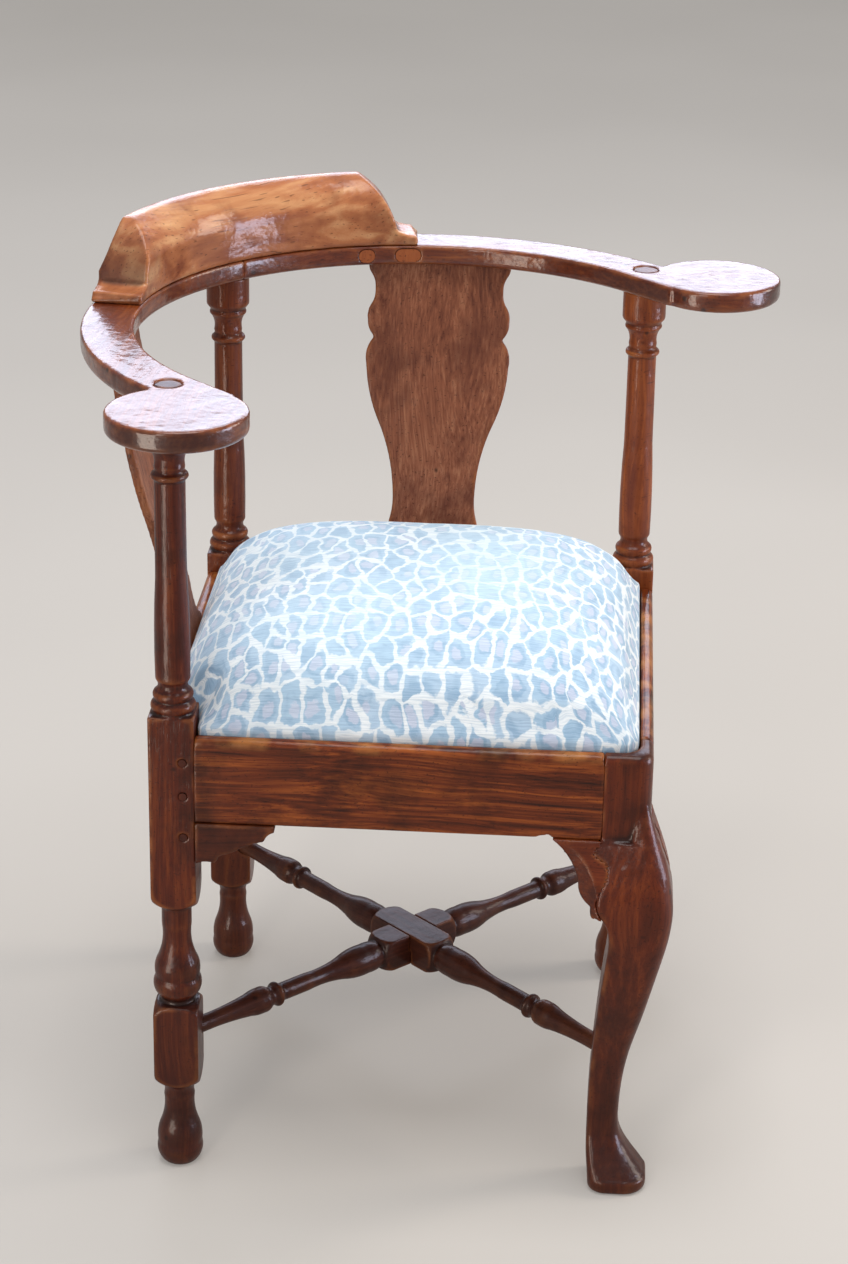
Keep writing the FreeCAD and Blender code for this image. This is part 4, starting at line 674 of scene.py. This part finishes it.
def seat_outline(squares, inset=0.0):
    """A flat grid in the seat's outline: three corners notched for the posts, the front one rounded."""
    shape = bmesh.new()
    bmesh.ops.create_grid(shape, x_segments=squares, y_segments=squares, size=seat_half - inset)
    for direction in (Vector((1, 0, 0)), Vector((0, 1, 0))):
        for sign in (1, -1):
            bmesh.ops.bisect_plane(shape, geom=everything(shape), dist=on_plane, plane_no=direction,
                                   plane_co=direction * sign * (notch - inset))
    corners = [face for face in shape.faces if in_notch(face, notch - inset)]
    bmesh.ops.delete(shape, geom=corners, context="FACES")
    centre = Vector((corner_round - seat_half, corner_round - seat_half, 0))
    for angle in (math.radians(198), math.radians(225), math.radians(252)):
        outward = Vector((math.cos(angle), math.sin(angle), 0))
        bmesh.ops.bisect_plane(shape, geom=everything(shape), dist=on_plane, plane_no=outward,
                               plane_co=centre + outward * (corner_round - inset), clear_outer=True)
    return shape


cushion_shape = seat_outline(84)
print("outline:", len(cushion_shape.faces), "squares,", round(seat_half * 2000), "mm wide")

# %% Raise the dome
skirt_top = 0.4508
crown = 0.0735
cover_bottom = 0.4253
flatness = 3.7
shoulder = 0.66
dip_width = 0.032
height_at_notch = 0.25
cushion_voxel = 0.005


def fall(reach):
    """How high the dome stands at a place between the middle, 0, and the edge, 1."""
    return (1 - min(1.0, abs(reach)) ** flatness) ** shoulder


def beside_notch(x, y):
    """How far a place is from the nearest notch, as a share of the width over which the cover dips."""
    nearest = 1.0
    for sx, sy in ((1, 1), (1, -1), (-1, 1)):
        gap = math.hypot(max(0.0, notch - sx * x), max(0.0, notch - sy * y))
        nearest = min(nearest, gap / dip_width)
    return nearest


def open_edges(shape):
    """The edges of a shape that have a face on one side only."""
    return [edge for edge in shape.edges if edge.is_boundary]


for vert in cushion_shape.verts:
    x, y = vert.co.x, vert.co.y
    dip = 1 - (1 - beside_notch(x, y)) ** 2
    share = height_at_notch + (1 - height_at_notch) * dip
    vert.co.z = skirt_top + crown * fall(x / seat_half) * fall(y / seat_half) * share
lowered = bmesh.ops.extrude_edge_only(cushion_shape, edges=open_edges(cushion_shape))["geom"]
for vert in only(bmesh.types.BMVert, lowered):
    vert.co.z = cover_bottom
bmesh.ops.holes_fill(cushion_shape, edges=open_edges(cushion_shape), sides=0)
bmesh.ops.recalc_face_normals(cushion_shape, faces=cushion_shape.faces)
cushion = link_object("seat_cushion", even_skin(as_mesh(cushion_shape, "seat_cushion"), cushion_voxel))
print("cushion skin", len(cushion.data.polygons), "faces")

# %% Swell it with the cloth solver
filling_pressure = 4.0
last_frame = 20
swell_cap = 0.007
held_edge = 0.018


def settle(piece):
    """Does a piece's modifiers and keeps the result as its mesh."""
    mesh = baked(piece)
    piece.modifiers.clear()
    piece.data = mesh


before = [vert.co.copy() for vert in cushion.data.vertices]
cloth = cushion.modifiers.new("filling", "CLOTH")
cloth.settings.use_pressure = True
cloth.settings.uniform_pressure_force = filling_pressure
cloth.settings.effector_weights.gravity = 0.0
for number in range(1, last_frame + 1):
    scene.frame_set(number)
settle(cushion)
scene.frame_set(1)
moves = []
for vert, start in zip(cushion.data.vertices, before):
    move = vert.co - start
    freedom = min(1.0, max(0.0, (start.z - skirt_top) / held_edge))
    move *= freedom * min(1.0, swell_cap / max(move.length, 1e-9))
    vert.co = start + move
    moves.append(move.length)
print("cushion swelled by up to", round(max(moves) * 1000, 1), "mm")

# %% [markdown]
# ## The hollow under the cushion
# The cover turns round the pine frame and is tacked below it, so seen from below the cushion is
# hollow: a skirt of cloth round the frame, and the flat underside of the stuffing on the hessian.
# The dome is cut off level with the hessian, and its rim is drawn down into the skirt.

# %% Skirt
slip_top = 0.4501
below_slip_top = 0.002
skirt_cloth = 0.0014


def place_on_seat(shape, height=0.0):
    """Turns a shape that is square to the axes to the seat's own place, its faces outwards."""
    bmesh.ops.rotate(shape, verts=shape.verts, matrix=Matrix.Rotation(square_turn, 3, "Z"))
    bmesh.ops.translate(shape, verts=shape.verts, vec=seat_middle + Vector((0, 0, height)))
    bmesh.ops.recalc_face_normals(shape, faces=shape.faces)


finer = cushion.modifiers.new("fine skin", "SUBSURF")
finer.levels = 1
finer.render_levels = 1
settle(cushion)
cushion_shape = as_shape(cushion.data)
bmesh.ops.bisect_plane(cushion_shape, geom=everything(cushion_shape), dist=on_plane, plane_no=(0, 0, -1),
                       plane_co=(0, 0, slip_top - below_slip_top), clear_outer=True)
skirt = bmesh.ops.extrude_edge_only(cushion_shape, edges=open_edges(cushion_shape))["geom"]
for vert in only(bmesh.types.BMVert, skirt):
    vert.co.z = cover_bottom
under = bmesh.ops.contextual_create(cushion_shape, geom=open_edges(cushion_shape))["faces"]
bmesh.ops.inset_region(cushion_shape, faces=under, thickness=skirt_cloth, use_even_offset=True)
raised = bmesh.ops.extrude_face_region(cushion_shape, geom=under)["geom"]
for vert in only(bmesh.types.BMVert, raised):
    vert.co.z = slip_top
bmesh.ops.delete(cushion_shape, geom=under, context="FACES_ONLY")
bmesh.ops.triangulate(cushion_shape, faces=[face for face in cushion_shape.faces if len(face.verts) > 4])
place_on_seat(cushion_shape)
cushion.data = as_mesh(cushion_shape, "seat_cushion")
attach(cushion, "drop_in_seat")
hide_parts("seat_cover", "seat_pad")
print("cushion", len(cushion.data.polygons), "faces")

# %% [markdown]
# ## The hem
# Below the frame the cover is turned inwards and held by the tacks, as a flat band 14.5 mm wide.
# One large face in the seat's outline, a little smaller than the skirt, is inset by the band's
# width. The middle is taken out, and the ring that stays gets the thickness of the cloth.

# %% Hem
hem_width = 0.0145
hem_inset = 0.0015
hem_cloth = 0.001
longest_edge = 0.05
hem_shape = seat_outline(1, inset=hem_inset)
whole = bmesh.ops.dissolve_faces(hem_shape, faces=hem_shape.faces[:])["region"]
bmesh.ops.inset_region(hem_shape, faces=whole, thickness=hem_width, use_even_offset=True,
                       use_boundary=True)
bmesh.ops.delete(hem_shape, geom=whole, context="FACES_ONLY")
doubled = bmesh.ops.extrude_face_region(hem_shape, geom=hem_shape.faces[:])["geom"]
bmesh.ops.translate(hem_shape, verts=only(bmesh.types.BMVert, doubled), vec=(0, 0, hem_cloth))
long_edges = [edge for edge in hem_shape.edges if edge.calc_length() > longest_edge]
bmesh.ops.subdivide_edges(hem_shape, edges=long_edges, cuts=20, use_grid_fill=True)
place_on_seat(hem_shape, cover_bottom)
hem = link_object("seat_hem", as_mesh(hem_shape, "seat_hem", smooth=False))
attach(hem, "drop_in_seat")
print("hem", len(hem.data.polygons), "faces")

# %% [markdown]
# ## The pattern follows the cloth
# The print was woven flat and then pulled over the dome. To keep it from smearing on the steep
# sides, each point stores where it lay on the flat cloth: its place in plan, plus how far the cloth
# has run down the slope. The material reads that attribute instead of the object's coordinates.

# %% Flat cloth coordinates
crown_height = max(vert.co.z for vert in cushion.data.vertices)
stretch_down = 0.8
to_square = Matrix.Rotation(-square_turn, 3, "Z")
for piece in (cushion, hem):
    flat_cloth = piece.data.attributes.new("flat_cloth", "FLOAT_VECTOR", "POINT")
    for vert, entry in zip(piece.data.vertices, flat_cloth.data):
        local = to_square @ (vert.co - seat_middle)
        lean = to_square @ vert.normal
        share = abs(lean.y) / max(abs(lean.x) + abs(lean.y), 1e-6)
        drop = (crown_height - vert.co.z) * stretch_down
        entry.vector = (local.x + math.copysign((1 - share) * drop, local.x),
                        local.y + math.copysign(share * drop, local.y), 0.0)
print("the crown of the seat stands", round(crown_height * 1000), "mm high")

# %% [markdown]
# ## Leopard weave
# A flat-woven furnishing cloth: blue-grey spots about 38 mm long and 19 mm across between the white
# lines of the ground, softened by a ribbed chenille weft. Voronoi cells with their place bent by
# noise give spots that never repeat. The ground shows where the nearest and the second nearest
# cell are about as far away, so its lines keep an even width and meet in threes.

# %% Where the spots are
spots_per_metre = (26.0, 52.0, 0.0)
bends_per_metre = 42.0
bend_reach = (0.026, 0.016, 0.0)
frays_per_metre = 330.0


def spot_pattern(tree, flat):
    """How blue, ringed and hearted each place is, and the chance values of its spot."""
    slow = add(tree, "ShaderNodeTexNoise", {"Vector": flat, "Scale": bends_per_metre, "Detail": 2.0})
    centred = add(tree, "ShaderNodeVectorMath", {0: slow.outputs["Color"], 1: (0.5, 0.5, 0.5)},
                  operation="SUBTRACT").outputs[0]
    bend = add(tree, "ShaderNodeVectorMath", {0: centred, 1: bend_reach}, operation="MULTIPLY").outputs[0]
    bent = add(tree, "ShaderNodeVectorMath", {0: flat, 1: bend}, operation="ADD").outputs[0]
    cells = add(tree, "ShaderNodeMapping", {"Vector": bent, "Scale": spots_per_metre}).outputs[0]
    nearest, second = [add(tree, "ShaderNodeTexVoronoi", {
        "Vector": cells, "Scale": 1.0, "Randomness": 0.9}, feature=feature, voronoi_dimensions="2D")
        for feature in ("F1", "F2")]
    distance = nearest.outputs["Distance"]
    gap = add(tree, "ShaderNodeMath", {0: second.outputs["Distance"], 1: distance},
              operation="SUBTRACT").outputs[0]
    chance = add(tree, "ShaderNodeSeparateColor", {0: nearest.outputs["Color"]}).outputs
    frayed = add(tree, "ShaderNodeTexNoise", {"Vector": flat, "Scale": frays_per_metre, "Detail": 2.0})
    uneven = add(tree, "ShaderNodeTexNoise", {"Vector": cells, "Scale": 1.3, "Detail": 1.0}).outputs["Fac"]

    # White ground shows between the spots, in lines of 2 to 6 mm with frayed sides.
    wider = add(tree, "ShaderNodeMapRange", {0: uneven, 1: 0.3, 2: 0.7, 3: 0.06, 4: -0.13}).outputs[0]
    fray = add(tree, "ShaderNodeMapRange", {
        0: frayed.outputs["Fac"], 1: 0.2, 2: 0.8, 3: -0.06, 4: 0.06}).outputs[0]
    apart = add(tree, "ShaderNodeMath", {0: gap, 1: wider}, operation="ADD").outputs[0]
    edge = add(tree, "ShaderNodeMath", {0: apart, 1: fray}, operation="ADD").outputs[0]
    blue = add(tree, "ShaderNodeMapRange", {0: edge, 1: 0.09, 2: 0.17}).outputs[0]

    # In most spots a deeper broken ring lies round a lilac-grey heart.
    reach = add(tree, "ShaderNodeMath", {0: distance, 1: fray}, operation="ADD").outputs[0]
    inside = add(tree, "ShaderNodeMapRange", {0: reach, 1: 0.27, 2: 0.21}).outputs[0]
    chosen = add(tree, "ShaderNodeMapRange", {0: chance[0], 1: 0.3, 2: 0.36, 4: 0.85}).outputs[0]
    heart = add(tree, "ShaderNodeMath", {0: inside, 1: chosen}, operation="MULTIPLY").outputs[0]
    outside = add(tree, "ShaderNodeMapRange", {0: reach, 1: 0.47, 2: 0.38}).outputs[0]
    broken = add(tree, "ShaderNodeMapRange", {0: uneven, 1: 0.62, 2: 0.46, 4: 0.75}).outputs[0]
    ring = add(tree, "ShaderNodeMath", {0: outside, 1: broken}, operation="MULTIPLY").outputs[0]
    return blue, ring, heart, chance


print("spots are about", round(1000 / spots_per_metre[0]), "by", round(1000 / spots_per_metre[1]), "mm")

# %% [markdown]
# Each layer of the print is laid over the one before: two blues by chance, the deeper ring, the
# lilac heart, and last the white ground. Light has faded it in broad patches. Over the middle of the
# seat it is paler still: partly faded by sitting, partly painted light on the crown.

# %% The colours of the print
pale_blue, other_blue, ring_blue = "#adcbe2", "#bcd3e8", "#94b5d2"
heart_lilac, ground_white, faded_and_lit_blue = "#d2d6e8", "#f6fafc", "#d6effa"
pale_middle_edge, pale_middle_core = 0.26, 0.10


def printed_colour(tree, flat):
    """The print's colour on the flat cloth, faded by light and use, with painted light in the middle."""
    blue, ring, heart, chance = spot_pattern(tree, flat)
    shade = add(tree, "ShaderNodeMix", {0: chance[1], 6: colour(pale_blue), 7: colour(other_blue)},
                data_type="RGBA").outputs[2]
    for share, over in ((ring, ring_blue), (heart, heart_lilac)):
        shade = add(tree, "ShaderNodeMix", {0: share, 6: shade, 7: colour(over)},
                    data_type="RGBA").outputs[2]
    printed = add(tree, "ShaderNodeMix", {0: blue, 6: colour(ground_white), 7: shade},
                  data_type="RGBA").outputs[2]
    fading = add(tree, "ShaderNodeTexNoise", {"Vector": flat, "Scale": 6.0, "Detail": 1.0}).outputs["Fac"]
    # Paler towards the middle of the seat: partly fading from sitting, partly painted light on the crown.
    from_middle = add(tree, "ShaderNodeVectorMath", {0: flat}, operation="LENGTH").outputs["Value"]
    worn_and_lit = add(tree, "ShaderNodeMapRange", {
        0: from_middle, 1: pale_middle_edge, 2: pale_middle_core, 3: 0.12, 4: 0.5}).outputs[0]
    patchy = add(tree, "ShaderNodeMapRange", {0: fading, 1: 0.35, 2: 0.65, 3: 0.4, 4: 1.2}).outputs[0]
    faded = add(tree, "ShaderNodeMath", {0: worn_and_lit, 1: patchy}, operation="MULTIPLY").outputs[0]
    return add(tree, "ShaderNodeMix", {0: faded, 6: printed, 7: colour(faded_and_lit_blue)},
               data_type="RGBA").outputs[2]


print("faded most within", round(pale_middle_core * 1000), "mm of the middle")

# %% [markdown]
# The weft is chenille: raised slubs 1.6 mm apart that run across the spots, darker between them,
# over a fine weave of 0.8 mm threads. It is matt, with a faint sheen from its pile.

# %% Cover fabric
slubs_per_metre = (620.0, 45.0, 1.0)
fine_thread = 0.0008
between_slubs = "#c3d2df"


def leopard_cloth():
    """Woven cotton chenille: matt, with a faint sheen from the raised pile."""
    material, tree = blank_material("printed cotton chenille")
    flat = add(tree, "ShaderNodeAttribute", attribute_name="flat_cloth").outputs["Vector"]
    rib_place = add(tree, "ShaderNodeMapping", {"Vector": flat, "Scale": slubs_per_metre}).outputs[0]
    slubs = add(tree, "ShaderNodeTexNoise", {
        "Vector": rib_place, "Scale": 1.0, "Detail": 2.0}).outputs["Fac"]
    between = add(tree, "ShaderNodeMapRange", {0: slubs, 1: 0.60, 2: 0.38, 4: 0.5}).outputs[0]
    ribbed = add(tree, "ShaderNodeMix", {
        0: between, 6: printed_colour(tree, flat), 7: colour(between_slubs)},
        data_type="RGBA", blend_type="MULTIPLY").outputs[2]
    weave = crossed_threads(tree, flat, fine_thread, 1.0, 1.0)
    relief = add(tree, "ShaderNodeMix", {0: 0.35, 2: slubs, 3: weave}).outputs[0]
    bump = add(tree, "ShaderNodeBump", {"Height": relief, "Strength": 0.7, "Distance": 0.0008}).outputs[0]
    shader = add(tree, "ShaderNodeBsdfPrincipled", {
        "Base Color": ribbed, "Roughness": 0.85, "Specular IOR Level": 0.3, "Sheen Weight": 0.2,
        "Sheen Roughness": 0.5, "Normal": bump})
    add(tree, "ShaderNodeOutputMaterial", {"Surface": shader.outputs[0]})
    return material


cover_cloth = leopard_cloth()
dress(cushion, cover_cloth)
dress(hem, cover_cloth)
print("cushion and hem:", cover_cloth.name)

# %% [markdown]
# ## Floor and backdrop
# A photographer's sweep: a pale warm grey floor that runs back and curves up into a wall with no
# line between them. The floor catches the chair's shadow. Camera rays and mirrored rays also see a
# little light of its own in it, so that it stays pale without more light on the chair.

# %% Background paper
own_light = 0.3


def sweep_paper():
    """Matt background paper, warm grey, a little uneven over a metre or so."""
    material, tree = blank_material("matt background paper")
    place = add(tree, "ShaderNodeTexCoord").outputs["Object"]
    tint = add(tree, "ShaderNodeTexNoise", {"Vector": place, "Scale": 0.8}).outputs["Fac"]
    stops = [(0.3, colour("#c5c0ba")), (0.7, colour("#cbc6c0"))]
    tone = add(tree, "ShaderNodeValToRGB", {0: tint}, stops=stops).outputs[0]
    paper = add(tree, "ShaderNodeBsdfPrincipled", {
        "Base Color": tone, "Roughness": 0.95, "Specular IOR Level": 0.0})
    glow = add(tree, "ShaderNodeEmission", {"Color": tone, "Strength": 1.0})
    rays = add(tree, "ShaderNodeLightPath").outputs
    seen = rays["Is Camera Ray"]
    for kind in ("Is Glossy Ray", "Is Transmission Ray"):
        seen = add(tree, "ShaderNodeMath", {0: seen, 1: rays[kind]}, operation="MAXIMUM").outputs[0]
    share = add(tree, "ShaderNodeMath", {0: seen, 1: own_light}, operation="MULTIPLY").outputs[0]
    both = add(tree, "ShaderNodeMixShader", {0: share, 1: paper.outputs[0], 2: glow.outputs[0]})
    add(tree, "ShaderNodeOutputMaterial", {"Surface": both.outputs[0]})
    return material


paper = sweep_paper()
print("backdrop:", paper.name)

# %% The sweep
floor_half = 12.0
floor_front = -10.0
floor_back = 8.5
curve_radius = 1.6
curve_steps = 16
wall_height = 4.0

sweep_shape = bmesh.new()
ends = [sweep_shape.verts.new((side_place, floor_front, 0)) for side_place in (-floor_half, floor_half)]
front_edge = sweep_shape.edges.new(ends)
floor = bmesh.ops.extrude_edge_only(sweep_shape, edges=[front_edge])["geom"]
bmesh.ops.translate(sweep_shape, verts=only(bmesh.types.BMVert, floor), vec=(0, floor_back - floor_front, 0))
curve = bmesh.ops.spin(sweep_shape, geom=only(bmesh.types.BMEdge, floor), cent=(0, floor_back, curve_radius),
                       axis=(1, 0, 0), angle=math.radians(90), steps=curve_steps)
wall = bmesh.ops.extrude_edge_only(sweep_shape, edges=only(bmesh.types.BMEdge, curve["geom_last"]))["geom"]
bmesh.ops.translate(sweep_shape, verts=only(bmesh.types.BMVert, wall), vec=(0, 0, wall_height))
bmesh.ops.rotate(sweep_shape, verts=sweep_shape.verts, matrix=Matrix.Rotation(-look_right, 3, "Z"))
bmesh.ops.recalc_face_normals(sweep_shape, faces=sweep_shape.faces)
sweep = link_object("sweep", as_mesh(sweep_shape, "sweep"))
dress(sweep, paper)
print("sweep", len(sweep.data.polygons), "faces")

# %% [markdown]
# ## Light
# A plain grey world lights every side about equally, so that colours come out as they are written.
# Soft lamps add to it: one overhead makes the shadow under the chair, one behind lights the crest,
# and one on each side models the posts and the cushion. Polish needs more. The streaks on the arms,
# the leg and the turnings mirror a large window behind the chair and pale walls low on both sides.
# Those three lamps show in gloss only, so that they draw streaks without lighting the floor.

# %% World and view
world_light = 0.6
world = bpy.data.worlds.new("studio")
scene.world = world
scene.view_settings.view_transform = "Standard"
world.use_nodes = True
background = world.node_tree.nodes["Background"]
background.inputs["Color"].default_value = colour("#eef0f4")
background.inputs["Strength"].default_value = world_light
print("world light", world_light)

# %% Lamps


def soft_lamp(name, place, target, width, height, power, tint, only_gloss=False):
    """A rectangular lamp that faces a point and isn't seen itself. Some only show in polished wood."""
    data = bpy.data.lights.new(name, "AREA")
    data.shape = "RECTANGLE"
    data.size = width
    data.size_y = height
    data.energy = power
    data.color = colour(tint)[:3]
    lamp = bpy.data.objects.new(name, data)
    scene.collection.objects.link(lamp)
    lamp.location = place
    lamp.rotation_euler = (Vector(target) - Vector(place)).to_track_quat("-Z", "Y").to_euler()
    lamp.visible_camera = False
    lamp.visible_diffuse = not only_gloss
    print(name, "lamp,", round(power), "W")


chair_middle = (0.0, 0.0, 0.55)
soft_lamp("window", (2.35, 2.6, 1.85), (0.0, 0.0, 0.75), 3.6, 1.2, 70.0, "#dfe8ff", only_gloss=True)
soft_lamp("low left", (-1.25, -0.15, 0.35), (-0.2, 0.0, 0.45), 0.4, 0.9, 11.0, "#fff0e0", only_gloss=True)
soft_lamp("low right", (1.25, -1.6, 0.7), (0.0, -0.28, 0.35), 0.8, 1.1, 44.0, "#dfe6ff", only_gloss=True)
soft_lamp("back", (1.6, 2.2, 3.2), chair_middle, 1.6, 1.0, 30.0, "#eaf0ff")
soft_lamp("overhead", (-0.3, -0.3, 4.2), chair_middle, 2.2, 2.2, 104.0, "#ffffff")
soft_lamp("right", (2.6, -1.4, 1.7), chair_middle, 0.8, 1.8, 42.0, "#fff3e6")
soft_lamp("left", (-2.8, -1.2, 1.5), chair_middle, 0.6, 1.8, 20.0, "#fff8f2")
